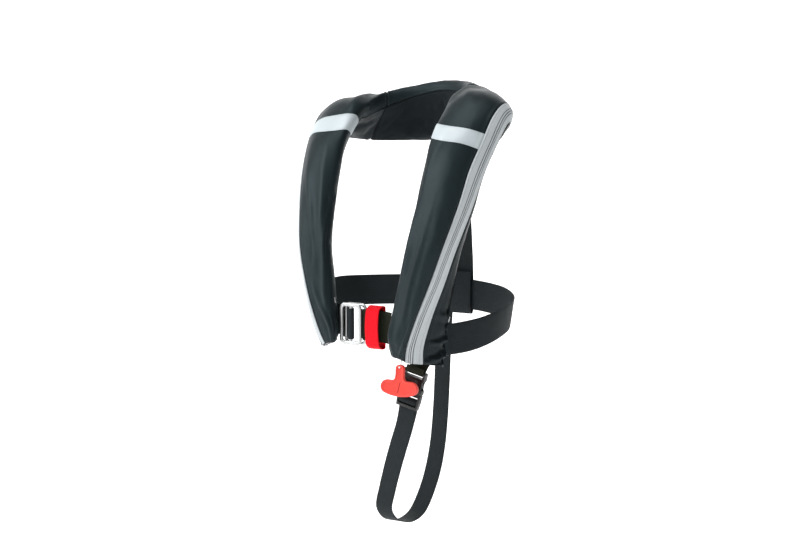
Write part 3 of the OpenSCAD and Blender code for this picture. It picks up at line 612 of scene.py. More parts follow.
def cc(P, m):
    m = np.asarray(m, float)
    i = np.floor(m).astype(int)
    f = (m - i)[:, None]
    p0, p1, p2, p3 = P[(i - 1) % 7], P[i % 7], P[(i + 1) % 7], P[(i + 2) % 7]
    return 0.5 * (2 * p1 + (p2 - p0) * f + (2 * p0 - 5 * p1 + 4 * p2 - p3) * f * f + (3 * p1 - p0 - 3 * p2 + p3) * f ** 3)


# rows about 5 mm apart, with rows exactly on the two collar seams
fine = np.linspace(0, 24, 961)
mid = np.array([sec(s)[[1, 3, 4]].mean(0) for s in fine])
run = np.concatenate([[0], np.cumsum(np.linalg.norm(np.diff(mid, axis=0), axis=1))])
rows_s = []
for a, b in ((0, 10), (10, 14), (14, 24)):
    la, lb = np.interp([a, b], fine, run)
    k = int(round((lb - la) / 5.0))
    part = np.interp(np.linspace(la, lb, k + 1), run, fine)
    rows_s += list(part if not rows_s else part[1:])
ROWS = np.array(rows_s)
R10, R14, RN = int(np.argmin(abs(ROWS - 10))), int(np.argmin(abs(ROWS - 14))), len(ROWS) - 1
NF, NT, NB = 28, 4, 17
NC = NF + NT + NB          # columns round the section; column NC is column 0 again


def smooth01(x):
    x = np.clip(x, 0, 1)
    return x * x * (3 - 2 * x)


# how far the zip rolls to the front on the wearer's right, counted from the hem
ROLL = np.array([4, 9, 11, 12, 12, 9, 5, 0], float)


def zm(s, x):
    """Place on the section curve x mm behind the middle of the zip tape."""
    c = sec(s)
    d = np.linalg.norm(c[5] - c[3]) / 2
    f, g, b = (np.linalg.norm(c[k + 1] - c[k]) for k in (3, 2, 4))
    k = 1 - float(smooth01((s - 5.6) / 1.4))
    y = x - float(cr(ROLL, min(s, 7)))
    near = 4 + y / b if y > 0 else (4 + y / f if y > -f else 3 + (y + f) / g)
    return (1 - k) * (4 + x / d) + k * near


def section_ms(s):
    c = sec(s)
    h = ZIP_W / 2
    a, e = zm(s, -h), zm(s, h)
    tape = [zm(s, x) for x in np.linspace(-h, h, NT + 1)[1:-1]] + [e]
    ms = np.concatenate([np.linspace(0, a, NF + 1), tape, np.linspace(e, 7, NB + 1)[1:]])
    return ms, ZIP_W / np.linalg.norm(c[5] - c[3])


BASE = np.zeros((RN + 1, NC + 1, 3))
ZD = np.zeros(RN + 1)
for i, s in enumerate(ROWS):
    ms, ZD[i] = section_ms(s)
    BASE[i] = cc(sec(s), ms)


def normals(G):
    """Outward normals of a closed-section grid."""
    di = np.gradient(G, axis=0)
    W = np.concatenate([G[:, -2:-1], G, G[:, 1:2]], axis=1)
    dj = W[:, 2:] - W[:, :-2]
    n = unit(np.cross(di, dj))
    c = G[:, :-1].mean(1, keepdims=True)
    sign = np.sign(((G - c) * n).sum(-1).mean())
    return n * sign


NORM = normals(BASE)


def blur(a, si, sj):
    """Gaussian blur of a scalar field on the grid; columns wrap round."""
    def k1(s):
        r = max(1, int(3 * s))
        x = np.arange(-r, r + 1)
        w = np.exp(-0.5 * (x / s) ** 2)
        return w / w.sum(), r
    out = a.copy()
    w, r = k1(si)
    p = np.pad(out, ((r, r), (0, 0)), mode="edge")
    out = sum(w[q] * p[q:q + out.shape[0]] for q in range(2 * r + 1))
    w, r = k1(sj)
    core = out[:, :-1]
    p = np.concatenate([core[:, -r:], core, core[:, :r]], axis=1)
    out2 = sum(w[q] * p[:, q:q + core.shape[1]] for q in range(2 * r + 1))
    return np.concatenate([out2, out2[:, :1]], axis=1)


# ---- cloth simulation of the whole cover, pinned along its zip, hems and seams
ii, jj = np.meshgrid(np.arange(RN + 1), np.arange(NC + 1), indexing="ij")
SS = ROWS[:, None] * np.ones((1, NC + 1))


def simulate():
    n, m = RN + 1, NC
    start = BASE[:, :NC] - NORM[:, :NC] * 0.8
    v = [tuple(p / 1000) for p in start.reshape(-1, 3)]
    f = grid_quads(n, m, wrap=True)
    for e in (0, n - 1):
        c = start[e].mean(0)
        v.append(tuple(c / 1000))
        k = len(v) - 1
        for j in range(m):
            t = (e * m + j, e * m + (j + 1) % m, k)
            f.append(t if e else t[::-1])
    me = bpy.data.meshes.new("cover_sim")
    me.from_pydata(v, [], f)
    ob = bpy.data.objects.new("cover_sim", me)
    COLL.objects.link(ob)
    outward(ob)
    pin = np.zeros((n, m))
    pin[:, NF:NF + NT + 1] = 1
    pin[:, NF - 1] = pin[:, NF + NT + 1] = 0.35
    pin[:, 0] = 1
    pin[:2] = pin[-2:] = 1
    pin[R10] = pin[R14] = 1
    grow = np.full((n, m), 0.30)
    s = ROWS[:, None]
    j = np.arange(m)[None, :]
    side = (j > NF + NT)
    grow += 0.35 * side * smooth01((s - 20.5) / 2.5) + 0.30 * side * smooth01((3.5 - s) / 2.5)
    grow += 0.18 * (~side) * smooth01((s - 22.2) / 1.4) + 0.15 * (~side) * smooth01((1.8 - s) / 1.4)
    grow += 0.25 * np.exp(-((abs(s - 12) - 6.3) / 1.3) ** 2)
    gp = ob.vertex_groups.new(name="pin")
    gs = ob.vertex_groups.new(name="grow")
    for q, w in enumerate(pin.ravel()):
        if w > 0:
            gp.add([q], float(w), "REPLACE")
    for q in (n * m, n * m + 1):
        gp.add([q], 1.0, "REPLACE")
    for q, w in enumerate(np.clip(grow, 0, 1).ravel()):
        gs.add([q], float(w), "REPLACE")
    mod = ob.modifiers.new("cloth", "CLOTH")
    st = mod.settings
    st.quality = 6
    st.mass = 0.15
    st.tension_stiffness = st.compression_stiffness = 22
    st.shear_stiffness = 12
    st.bending_stiffness = 0.35
    st.tension_damping = st.compression_damping = st.shear_damping = 8
    st.bending_damping = 0.6
    st.air_damping = 4
    st.vertex_group_mass = "pin"
    st.pin_stiffness = 1
    st.use_pressure = True
    st.uniform_pressure_force = 3.2
    st.vertex_group_shrink = "grow"
    st.shrink_min = 0.0
    st.shrink_max = -0.16
    st.effector_weights.gravity = 0
    mod.collision_settings.use_collision = False
    mod.collision_settings.use_self_collision = False
    mod.point_cache.frame_start, mod.point_cache.frame_end = 1, 26
    sc = bpy.context.scene
    for fr in range(1, 25):
        sc.frame_set(fr)
    dg = bpy.context.evaluated_depsgraph_get()
    ev = ob.evaluated_get(dg).data
    co = np.zeros(len(ev.vertices) * 3, np.float32)
    ev.vertices.foreach_get("co", co)
    G = co.reshape(-1, 3)[: n * m].reshape(n, m, 3).astype(float) * 1000
    bpy.data.objects.remove(ob)
    sc.frame_set(1)
    return np.concatenate([G, G[:, :1]], axis=1)


DISP = simulate() - BASE
DN = (DISP * NORM).sum(-1)
low = blur(DN, 7, 4)
DT = DISP - DN[..., None] * NORM
tl = np.linalg.norm(DT, axis=-1, keepdims=True)
DT = DT * np.minimum(1, 4.0 / np.maximum(tl, 1e-6))
wr = np.clip(DN - low, -5, 5)
print("sim: normal", round(float(DN.min()), 2), round(float(DN.max()), 2), "wrinkle rms", round(float(np.sqrt((wr ** 2).mean())), 3))


def seam_dist(i_, j_):
    return i_, j_


# folds drawn to the belt exit and the gathered hem on both lobes' side panels
BOTTOM = np.zeros(DN.shape)
q_side = (jj - (NF + NT)) / NB
for hem, sgn in ((24.0, 1), (0.0, -1)):
    depth = np.abs(SS - hem)                       # stations from the hem
    for k, (d0, q0, d1, q1, w, amp) in enumerate((
            (1.55, 0.62, 0.10, 0.02, 0.13, 2.6), (1.50, 0.70, 0.05, 0.30, 0.10, 2.9), (1.48, 0.80, 0.10, 0.62, 0.11, 2.4),
            (1.62, 0.55, 1.05, 0.02, 0.11, 1.9), (1.70, 0.50, 2.10, 0.05, 0.13, 1.6), (1.45, 0.95, 0.10, 0.95, 0.12, 1.6),
            (1.80, 0.62, 3.10, 0.30, 0.14, 1.2))):
        ax, ay, bx, by = d0, q0 * 1.6, d1, q1 * 1.6
        px, py = depth - ax, q_side * 1.6 - ay
        dx, dy = bx - ax, by - ay
        tt = np.clip((px * dx + py * dy) / (dx * dx + dy * dy), 0, 1)
        dist = np.hypot(px - tt * dx, py - tt * dy)
        ridge = (np.exp(-(dist / (0.62 * w)) ** 2) - 0.5 * np.exp(-((dist - 1.25 * w) / (0.7 * w)) ** 2)) * (0.35 + 0.65 * np.sin(math.pi * np.clip(tt, 0, 1)))
        BOTTOM += (amp * 2.1 if sgn > 0 else amp * 1.2) * ridge * (q_side > 0) * (q_side < 1) * (depth < 4)
BOTTOM *= np.clip(np.sin(math.pi * np.clip(q_side, 0, 1)) * 3, 0, 1)

# long soft creases pressed into the front covers where the folded bladder ends, and over the shoulders
CREASE = np.zeros(DN.shape)
q_front = jj / NF
for s0, q0, s1, q1, w, amp in (
        (16.3, 0.15, 14.2, 0.62, 0.050, 2.4), (16.0, 0.70, 14.4, 0.35, 0.045, 1.6), (17.4, 0.20, 20.6, 0.38, 0.050, 1.3),
        (19.2, 0.62, 22.8, 0.48, 0.045, 1.5), (21.4, 0.22, 23.8, 0.40, 0.040, 1.8), (22.2, 0.80, 23.9, 0.62, 0.035, 1.6),
        (18.2, 0.42, 16.9, 0.60, 0.050, 1.1), (23.2, 0.15, 23.95, 0.30, 0.035, 1.4),
        (7.9, 0.42, 10.4, 0.70, 0.050, 2.6), (8.2, 0.20, 9.6, 0.30, 0.045, 1.4), (6.8, 0.55, 3.2, 0.40, 0.055, 1.5),
        (4.8, 0.30, 1.8, 0.55, 0.045, 1.6), (2.6, 0.72, 0.2, 0.50, 0.040, 1.7), (1.6, 0.30, 0.1, 0.20, 0.035, 1.3),
        (5.8, 0.80, 4.2, 0.62, 0.040, 1.2)):
    px, py = (SS - s0) * 0.16, q_front - q0
    dx, dy = (s1 - s0) * 0.16, q1 - q0
    tt = np.clip((px * dx + py * dy) / (dx * dx + dy * dy), 0, 1)
    dist = np.hypot(px - tt * dx, py - tt * dy)
    CREASE += amp * (np.exp(-(dist / w) ** 2) - 0.45 * np.exp(-((dist - 2.1 * w) / (1.3 * w)) ** 2)) * (0.3 + 0.7 * np.sin(math.pi * np.clip(tt, 0, 1))) * (q_front <= 1)
CREASE *= np.clip(np.sin(math.pi * np.clip(q_front, 0, 1)) * 2.5, 0, 1)

SURF = BASE + NORM * (0.28 * np.clip(low, -4, 6) + 1.5 * wr + BOTTOM + CREASE - 0.3)[..., None] + 0.5 * DT
over = np.exp(-(np.linalg.norm(BASE - np.array([64.5, -144, -333]), axis=-1) / 15.0) ** 2)
SURF = SURF + NORM * (2.6 * over)[..., None]
# keep the zip on its line; seams and hems were pinned only in the cloth simulation
hold = np.ones(DN.shape)
hold[:, NF:NF + NT + 1] = 0
SURF = BASE + (SURF - BASE) * hold[..., None]
SN = normals(SURF)


def bilerp(A, fi, fj):
    fi, fj = np.clip(fi, 0, A.shape[0] - 1), np.clip(fj, 0, A.shape[1] - 1)
    i, j = np.minimum(fi.astype(int), A.shape[0] - 2), np.minimum(fj.astype(int), A.shape[1] - 2)
    a, b = (fi - i)[..., None], (fj - j)[..., None]
    return (1 - a) * (1 - b) * A[i, j] + a * (1 - b) * A[i + 1, j] + (1 - a) * b * A[i, j + 1] + a * b * A[i + 1, j + 1]


def bicubic(A, fi, fj):
    """Catmull-Rom in both directions; the section wraps."""
    fi = np.clip(fi, 0, A.shape[0] - 1)
    i = np.minimum(fi.astype(int), A.shape[0] - 2)
    j = np.floor(fj).astype(int)
    a, b = (fi - i)[..., None], (fj - j)[..., None]
    nc = A.shape[1] - 1

    def w(f):
        return (-0.5 * f + f * f - 0.5 * f ** 3, 1 - 2.5 * f * f + 1.5 * f ** 3, 0.5 * f + 2 * f * f - 1.5 * f ** 3, -0.5 * f * f + 0.5 * f ** 3)
    wi, wj = w(a), w(b)
    out = 0
    for p in range(4):
        ip = np.clip(i + p - 1, 0, A.shape[0] - 1)
        for q in range(4):
            out = out + wi[p] * wj[q] * A[ip, (j + q - 1) % nc]
    return out


def micro(P, amp, seed, L=26.0):
    """Soft creases of light fabric, mostly across the lobe."""
    out = np.zeros(P.shape[:-1])
    flat = P.reshape(-1, 3)
    o = out.ravel()
    for k, p in enumerate(flat):
        v = Vector((p[0] / L + seed, p[1] / L, p[2] / (L * 1.9)))
        a = noise.noise(v)
        b = noise.noise(v * 2.3 + Vector((5.1, 1.3, 0)))
        o[k] = (1 - abs(a) * 2.2) * 0.7 + b * 0.5
    return o.reshape(out.shape) * amp


def graded(a, b, dense0=True, dense1=True, sub=2):
    """Fractional grid indices from a to b, closer together at the seams."""
    near = [0, 0.12, 0.28, 0.5, 0.78, 1.1]
    xs = set(np.round(np.linspace(a, b, (b - a) * sub + 1), 4))
    if dense0:
        xs = {x for x in xs if x > a + 1.2} | {a + q for q in near}
    if dense1:
        xs = {x for x in xs if x < b - 1.2} | {b - q for q in near}
    return np.array(sorted(xs))


STEP = 5.0


def pillow(fi, fj, r0, r1, c0, c1, mesh_j):
    """Seam line dips and the fold beside it, from the distance to each edge of the panel in mm."""
    out = np.zeros(fi.shape)
    for d in ((fi - r0) * STEP, (r1 - fi) * STEP, (fj - c0) * mesh_j, (c1 - fj) * mesh_j):
        out += -1.5 * np.exp(-(d / 1.5) ** 2) + 0.45 * np.exp(-((d - 4.2) / 1.7) ** 2) - 0.25 * np.exp(-((d - 7.6) / 1.3) ** 2)
    return out


def panel_surface(fi, fj, box, amp, seed):
    r0, r1, c0, c1 = box
    P = bicubic(SURF, fi, fj)
    N = unit(bilerp(SN, fi, np.clip(fj, 0, NC)))
    off = pillow(fi, fj, r0, r1, c0, c1, 5.2)
    e = np.minimum.reduce([(fi - r0) * STEP, (r1 - fi) * STEP, (fj - c0) * 5.2, (c1 - fj) * 5.2])
    if amp:
        off = off + micro(P, amp, seed) * smooth01(e / 9.0)
    return P + N * off[..., None], N


def panel(name, box, body, mat, thick=1.1, amp=0.45, seed=1.0):
    r0, r1, c0, c1 = box
    fi, fj = graded(r0, r1), graded(c0, c1)
    FI, FJ = np.meshgrid(fi, fj, indexing="ij")
    P, N = panel_surface(FI, FJ, box, amp, seed)
    L = np.zeros(FI.shape + (3,))
    L[..., 0] = FJ * 5.2 / 1000
    L[..., 1] = FI * STEP / 1000
    ob = slab(name, P, P - N * thick, body, mat, L, 60)
    return ob


FRONT_L, FRONT_R = (R14, RN, 0, NF), (0, R10, 0, NF)
BACK_L, BACK_R = (R14, RN, NF + NT, NC), (0, R10, NF + NT, NC)
COLLAR_F, COLLAR_B = (R10, R14, 0, NF), (R10, R14, NF + NT, NC)
shells = {}
for nm, box, nd, mt, sd, fill, slot_ in (
        ("front_cover_left_fabric", FRONT_L, "front_cover_left", "cover", 1.0, 0.45, "cover_fabric"),
        ("front_cover_right_fabric", FRONT_R, "front_cover_right", "cover", 4.0, 0.45, "cover_fabric"),
        ("back_cover_left_fabric", BACK_L, "back_cover_left", "side", 7.0, 0.35, "side_fabric"),
        ("back_cover_right_fabric", BACK_R, "back_cover_right", "side", 9.0, 0.35, "side_fabric"),
        ("collar_cover_fabric", COLLAR_F, "collar_cover", "cover", 11.0, 0.45, "cover_fabric"),
        ("collar_lining_fabric", COLLAR_B, "collar_lining", "lining", 13.0, 0.4, "lining")):
    ob = panel(nm, box, "jacket", mt, seed=sd)
    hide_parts(nd)
    shells[nm] = ob

# ---------------------------------------------------------------- zip tape and coil
CTR = NF + NT / 2
fi_t = np.concatenate([np.arange(0.25, RN - 0.2, 0.5), [RN - 0.2]])
Cc = bicubic(BASE, fi_t, np.full(len(fi_t), CTR))
Lc = bicubic(BASE, fi_t, np.full(len(fi_t), float(NF)))
Rc = bicubic(BASE, fi_t, np.full(len(fi_t), float(NF + NT)))
TT = unit(np.gradient(Cc, axis=0))
NN = unit(bilerp(NORM, fi_t, np.full(len(fi_t), CTR)))
run_t = np.concatenate([[0], np.cumsum(np.linalg.norm(np.diff(Cc, axis=0), axis=1))])


def across(x):
    """Point on the tape's base at x in -1..1 across it, bent over the cover's edge."""
    out = np.zeros_like(Cc)
    j = np.full(len(fi_t), CTR + x * NT / 2)
    return bicubic(BASE, fi_t, j)


def tape_strip(name, xs, hs, dark, inner, mat, node_=None):
    """xs in mm across the tape, hs heights above the cover, dark 0..1 for the painted shade in the grooves."""
    n, k = len(fi_t), len(xs)
    P, Q = np.zeros((n, k, 3)), np.zeros((n, k, 3))
    L = np.zeros((n, k, 3))
    half = np.linalg.norm(Rc - Lc, axis=1) / 2
    for q, (x, h) in enumerate(zip(xs, hs)):
        j = np.full(len(fi_t), CTR + (x / 11.5) * NT / 2)
        p = bicubic(BASE, fi_t, j)
        nrm = unit(bilerp(NORM, fi_t, np.clip(j, 0, NC)))
        P[:, q] = p + nrm * h
        Q[:, q] = p + nrm * inner
        L[:, q, 0] = x / 1000
        L[:, q, 1] = run_t / 1000
        L[:, q, 2] = dark[q]
    ob = slab(name, P, Q, "jacket", mat, L, 70)
    if node_:
        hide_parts(node_)
    return ob


xs, hs, groove_shade = [], [], []


def prof_pt(x, h, d=0.0):
    xs.append(x); hs.append(h); groove_shade.append(d)


# profile points: x across, height above the cover, painted groove shade 0..1
for x, h, d in ((-12.3, -0.9, 0), (-12.2, 0.2, 0), (-11.8, 0.75, 0), (-11.2, 0.95, 0), (-10.3, 1.0, 0), (-9.7, 0.98, 0), (-9.45, 0.72, 0.35), (-9.15, 0.98, 0),
                (-8.2, 1.05, 0), (-6.5, 1.12, 0), (-4.6, 1.25, 0), (-3.9, 1.35, 0), (-3.6, 1.28, 0.5), (-3.5, 0.4, 1), (-2.85, 0.4, 1), (-2.75, 1.32, 0.5), (-2.4, 1.62, 0),
                (-1.5, 1.78, 0), (-0.75, 1.66, 0), (-0.5, 1.4, 0.6), (-0.42, 0.7, 1)):
    prof_pt(x, h, d)
half_x = list(xs)
for x, h, d in list(zip(xs, hs, groove_shade))[::-1]:
    prof_pt(-x, h, d)
tape_ob = tape_strip("zip_tape_knitted", xs, hs, groove_shade, -0.9, "tape", "zip_tape")
# coil under the two tape lips: separate turns showing in the centre line
coil = []
for x0 in (0,):
    turns = int(run_t[-1] / 1.9)
    at = np.linspace(3, run_t[-1] - 3, turns)
    idx = np.interp(at, run_t, np.arange(len(fi_t)))
    lo_i = np.minimum(idx.astype(int), len(fi_t) - 2)
    fr_ = (idx - lo_i)[:, None]
    pc = Cc[lo_i] * (1 - fr_) + Cc[lo_i + 1] * fr_
    nc_ = unit(NN[lo_i] * (1 - fr_) + NN[lo_i + 1] * fr_)
    tc = unit(TT[lo_i] * (1 - fr_) + TT[lo_i + 1] * fr_)
    bc = unit(np.cross(nc_, tc))
    V, F = [], []
    prof_c = [(-2.3, 0.15), (-2.3, 0.62), (2.3, 0.62), (2.3, 0.15)]
    for a in range(turns):
        o = len(V)
        lean = 0.35 if a % 2 else -0.35
        for dt in (-0.55, 0.55):
            for x, h in prof_c:
                V.append(pc[a] + bc[a] * x + nc_[a] * h + tc[a] * (dt + lean * x / 2.3))
        F += [(o, o + 1, o + 2, o + 3), (o + 4, o + 7, o + 6, o + 5), (o, o + 4, o + 5, o + 1), (o + 1, o + 5, o + 6, o + 2), (o + 2, o + 6, o + 7, o + 3), (o + 3, o + 7, o + 4, o)]
chain_ob = outward(link_mesh("zip_coil", V, F, "jacket", "chain", None, False))
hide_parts("zip_chain")

# ---------------------------------------------------------------- reflective bands
def row_index(s):
    return np.interp(s, ROWS, np.arange(RN + 1))


def band(name, side, a0, a1, b0, b1, box, nd, seed):
    nu, nv = 15, 62
    q = np.linspace(0.03, 1, nv)
    f = np.linspace(0, 1, nu)
    F_, Q_ = np.meshgrid(f, q, indexing="ij")
    s_guess = 12 + side * 5
    m_ = Q_ * 3.55
    t = (a0 + (a1 - a0) * F_) + ((b0 + (b1 - b0) * F_) - (a0 + (a1 - a0) * F_)) * m_ / 4
    FI = row_index(12 + side * t)
    d = np.interp(FI, np.arange(RN + 1), ZD)
    FJ = np.clip(Q_, 0, 1) * NF
    P, N = panel_surface(FI, FJ, box, 0.45, seed)
    fold = 0.75 - 0.35 * np.exp(-((F_ - 0.0) / 0.04) ** 2) - 0.35 * np.exp(-((F_ - 1.0) / 0.04) ** 2)
    stitch = -0.18 * np.exp(-((F_ - 0.07) / 0.02) ** 2) - 0.18 * np.exp(-((F_ - 0.93) / 0.02) ** 2)
    L = np.zeros(FI.shape + (3,))
    L[..., 0] = F_ * 0.030
    L[..., 1] = Q_ * 0.145
    ob = slab(name, P + N * (fold + stitch)[..., None], P + N * 0.12, "jacket", "band", L, 60)
    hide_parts(nd)
    return P + N * 0.85, FI, FJ


band_l = band("reflective_band_left_film", 1, 4.62, 5.00, 4.92, 5.42, FRONT_L, "reflective_band_left", 1.0)
band_r = band("reflective_band_right_film", -1, 4.20, 4.72, 4.70, 5.20, FRONT_R, "reflective_band_right", 4.0)


# ---------------------------------------------------------------- stitching
def stitches(name, lines, body, mat, pitch=3.4, length=2.3, r=0.28):
    """Rows of separate thread stitches. Each line is (points, normals)."""
    V, F = [], []
    for P, N in lines:
        P, N = np.asarray(P, float), np.asarray(N, float)
        L = np.concatenate([[0], np.cumsum(np.linalg.norm(np.diff(P, axis=0), axis=1))])
        for c in np.arange(pitch, L[-1] - pitch, pitch):
            a = np.array([np.interp(c - length / 2, L, P[:, k]) for k in range(3)])
            b = np.array([np.interp(c + length / 2, L, P[:, k]) for k in range(3)])
            nn = unit(np.array([np.interp(c, L, N[:, k]) for k in range(3)]))
            t = unit(b - a)
            s_ = np.cross(nn, t)
            o = len(V)
            for x, h, w in ((0, -0.15, 0.5), (0.18, 0.12, 0.9), (0.5, 0.24, 1.0), (0.82, 0.12, 0.9), (1, -0.15, 0.5)):
                p = a + (b - a) * x
                for g in (0, 1, 2, 3):
                    an = math.pi / 4 + g * math.pi / 2
                    V.append(p + nn * (h + r * w * math.sin(an)) + s_ * r * 1.2 * w * math.cos(an))
            for k in range(4):
                for g in range(4):
                    F.append((o + k * 4 + g, o + k * 4 + (g + 1) % 4, o + (k + 1) * 4 + (g + 1) % 4, o + (k + 1) * 4 + g))
            F += [(o + 3, o + 2, o + 1, o), (o + 16, o + 17, o + 18, o + 19)]
    return outward(link_mesh(name, V, F, body, mat, None, True))


def on_panel(box, fi, fj, seed, h=0.1):
    P, N = panel_surface(np.asarray(fi, float), np.asarray(fj, float), box, 0.45, seed)
    return P + N * h, N


lines = []
for box, sd in ((FRONT_L, 1.0), (FRONT_R, 4.0), (COLLAR_F, 11.0)):
    r0, r1, c0, c1 = box
    i_ = np.arange(r0 + 0.9, r1 - 0.8, 0.25)
    lines.append(on_panel(box, i_, np.full(len(i_), c1 - 0.82), sd))
    j_ = np.arange(c0 + 1, c1 - 1, 0.25)
    if r0 in (R10, R14):
        lines.append(on_panel(box, np.full(len(j_), r0 + 0.85), j_, sd))
    if r1 in (R10, R14):
        lines.append(on_panel(box, np.full(len(j_), r1 - 0.85), j_, sd))
for box, sd in ((BACK_L, 7.0), (BACK_R, 9.0), (COLLAR_B, 13.0)):
    r0, r1, c0, c1 = box
    i_ = np.arange(r0 + 0.9, r1 - 0.8, 0.25)
    lines.append(on_panel(box, i_, np.full(len(i_), c0 + 0.82), sd))
cover_stitch = stitches("cover_topstitch", lines, "jacket", "thread", 3.2, 2.2, 0.26)
tl_ = []
for x in (-9.45, 9.45):
    j = np.full(len(fi_t), CTR + (x / 11.5) * NT / 2)
    nrm = unit(bilerp(NORM, fi_t, j))
    tl_.append((bicubic(BASE, fi_t, j) + nrm * 0.82, nrm))
tape_stitch = stitches("tape_stitch", tl_, "jacket", MAT["tape"], 2.6, 1.9, 0.2)
bl = []
for (P, FI, FJ), box in ((band_l, FRONT_L), (band_r, FRONT_R)):
    for k in (1, 13):
        bl.append((P[k], unit(bilerp(SN, FI[k], FJ[k]))))
band_stitch = stitches("band_stitch", bl, "jacket", MAT["band"], 2.8, 2.0, 0.2)

# ---------------------------------------------------------------- webbing
def ease(a, b, x):
    x = min(max((x - a) / (b - a), 0), 1)
    return x * x * (3 - 2 * x)


WHITE, BLACK = "thread_white", "thread"
BELT = [[30, -110.6, -326], [62, -105.5, -331], [89, -88.6, -337], [112, -69, -341], [143, -37, -333], [155, 8, -321],
        [141, 59, -311], [96, 102, -303], [38, 124, -299], [-20, 127, -297], [-80, 112, -295], [-138, 64, -295],
        [-154, 8, -294], [-143, -37, -301], [-112, -70, -312], [-89, -89, -317], [-60, -105.8, -321]]


def belt_tilt(p):
    return unit([0.2 * p[0] / 155, 0, 1])


def sewn_tilt(p):
    return unit([0.2 * p[0] / 155 * ease(28, 44, abs(p[0])), 0, 1])


def ribbon_frame(P, W, step):
    """Centre line, width and outward directions of a ribbon, for stitches."""
    X, s, tt = spline(P, step)
    W = np.asarray(W, float)
    Wd = np.array([cr(W, x) for x in tt]) if W.ndim == 2 else np.tile(W, (len(X), 1))
    T = unit(np.gradient(X, axis=0))
    N = unit(np.cross(T, Wd))
    return X, s, unit(np.cross(N, T)), N


belt_W = np.array([belt_tilt(p) for p in BELT])
belt_ob = ribbon("waist_belt_web", BELT, belt_W, 48, 1.9, "jacket", "webbing", 2.6, 0.35, 1.7)
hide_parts("waist_belt")


def arc(x, y, z, r, a0, a1, k):
    return [[x + r * math.cos(math.radians(a0 + (a1 - a0) * i / k)), y + r * math.sin(math.radians(a0 + (a1 - a0) * i / k)), z] for i in range(k + 1)]


PX, PY, HZ, RX, RY = -31.4, -124.0, -323.0, -27.0, -116.5
BAR_X = -9.0
END_L = [[64, -107.6, -331], [52, -110.7, -329.5], [40, -112.4, -327.5], [22, -113.6, -325], [8, -116.4, -323.5]] \
    + arc(BAR_X, RY, HZ, 3.9, -80, -280, 8) \
    + [[6, -110.6, -323.5], [22, -108.6, -325], [40, -107.6, -327.5], [50, -106.2, -329.5], [62, -103.2, -331]]
END_R = [[-73, -103.2, -319], [-61, -108.4, -321], [-51, -110.2, -323], [-43, -111.8, -323], [-38.2, -116.4, -323]] \
    + arc(PX, -123, HZ, 3.9, -170, -5, 7) \
    + [[-30.5, -118, -323], [-35, -111.6, -323], [-43, -108.3, -323], [-52, -106.2, -323], [-62, -101.9, -321], [-72, -96.2, -319]]
end_l = ribbon("belt_end_left_web", END_L, [sewn_tilt(p) for p in END_L], 47, 1.7, "jacket", "olive", 2.2, 0.3, 4.2)
end_r = ribbon("belt_end_right_web", END_R, [sewn_tilt(p) for p in END_R], 47, 1.7, "jacket", "webbing", 2.2, 0.25, 6.2)
for o, n_, s_ in ((end_l, "belt_end_left", "olive_webbing"), (end_r, "belt_end_right", "webbing")):
    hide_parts(n_)


def tunnel(name, a, b, nd, mt, sl, seed):
    P, W = BELT[a:b], belt_W[a:b]
    X, s, U, N = ribbon_frame(P, W, 3.0)
    out = []
    k = len(X)
    c = X.mean(0)
    if ((X[k // 2] - np.array([0, 10, X[k // 2][2]])) * N[k // 2]).sum() < 0:
        N = -N
    prof = []
    w, h = 26.8, 2.4
    for x in np.linspace(-w, w, 15):
        prof.append((x, h - 0.9 * smooth01(np.abs(x) / w * 3 - 2)))
    inner = [(x, -0.6) for x in np.linspace(w, -w, 7)]
    pr = np.array(prof + inner)
    V = X[:, None, :] + pr[None, :, 0, None] * U[:, None, :] + pr[None, :, 1, None] * N[:, None, :]
    for i in range(k):
        for j in range(len(prof)):
            V[i, j] += N[i] * 0.5 * noise.noise(Vector((s[i] / 11 + seed, pr[j, 0] / 22, 2.0)))
    f = grid_quads(k, len(pr), wrap=True) + [tuple(range(len(pr)))[::-1], tuple((k - 1) * len(pr) + j for j in range(len(pr)))]
    cl = np.zeros(V.shape)
    cl[..., 0] = pr[None, :, 0] / 1000
    cl[..., 1] = s[:, None] / 1000
    ob = outward(link_mesh(name, V.reshape(-1, 3), f, "jacket", mt, cl.reshape(-1, 3), True, 50))
    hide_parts(nd)
    return ob


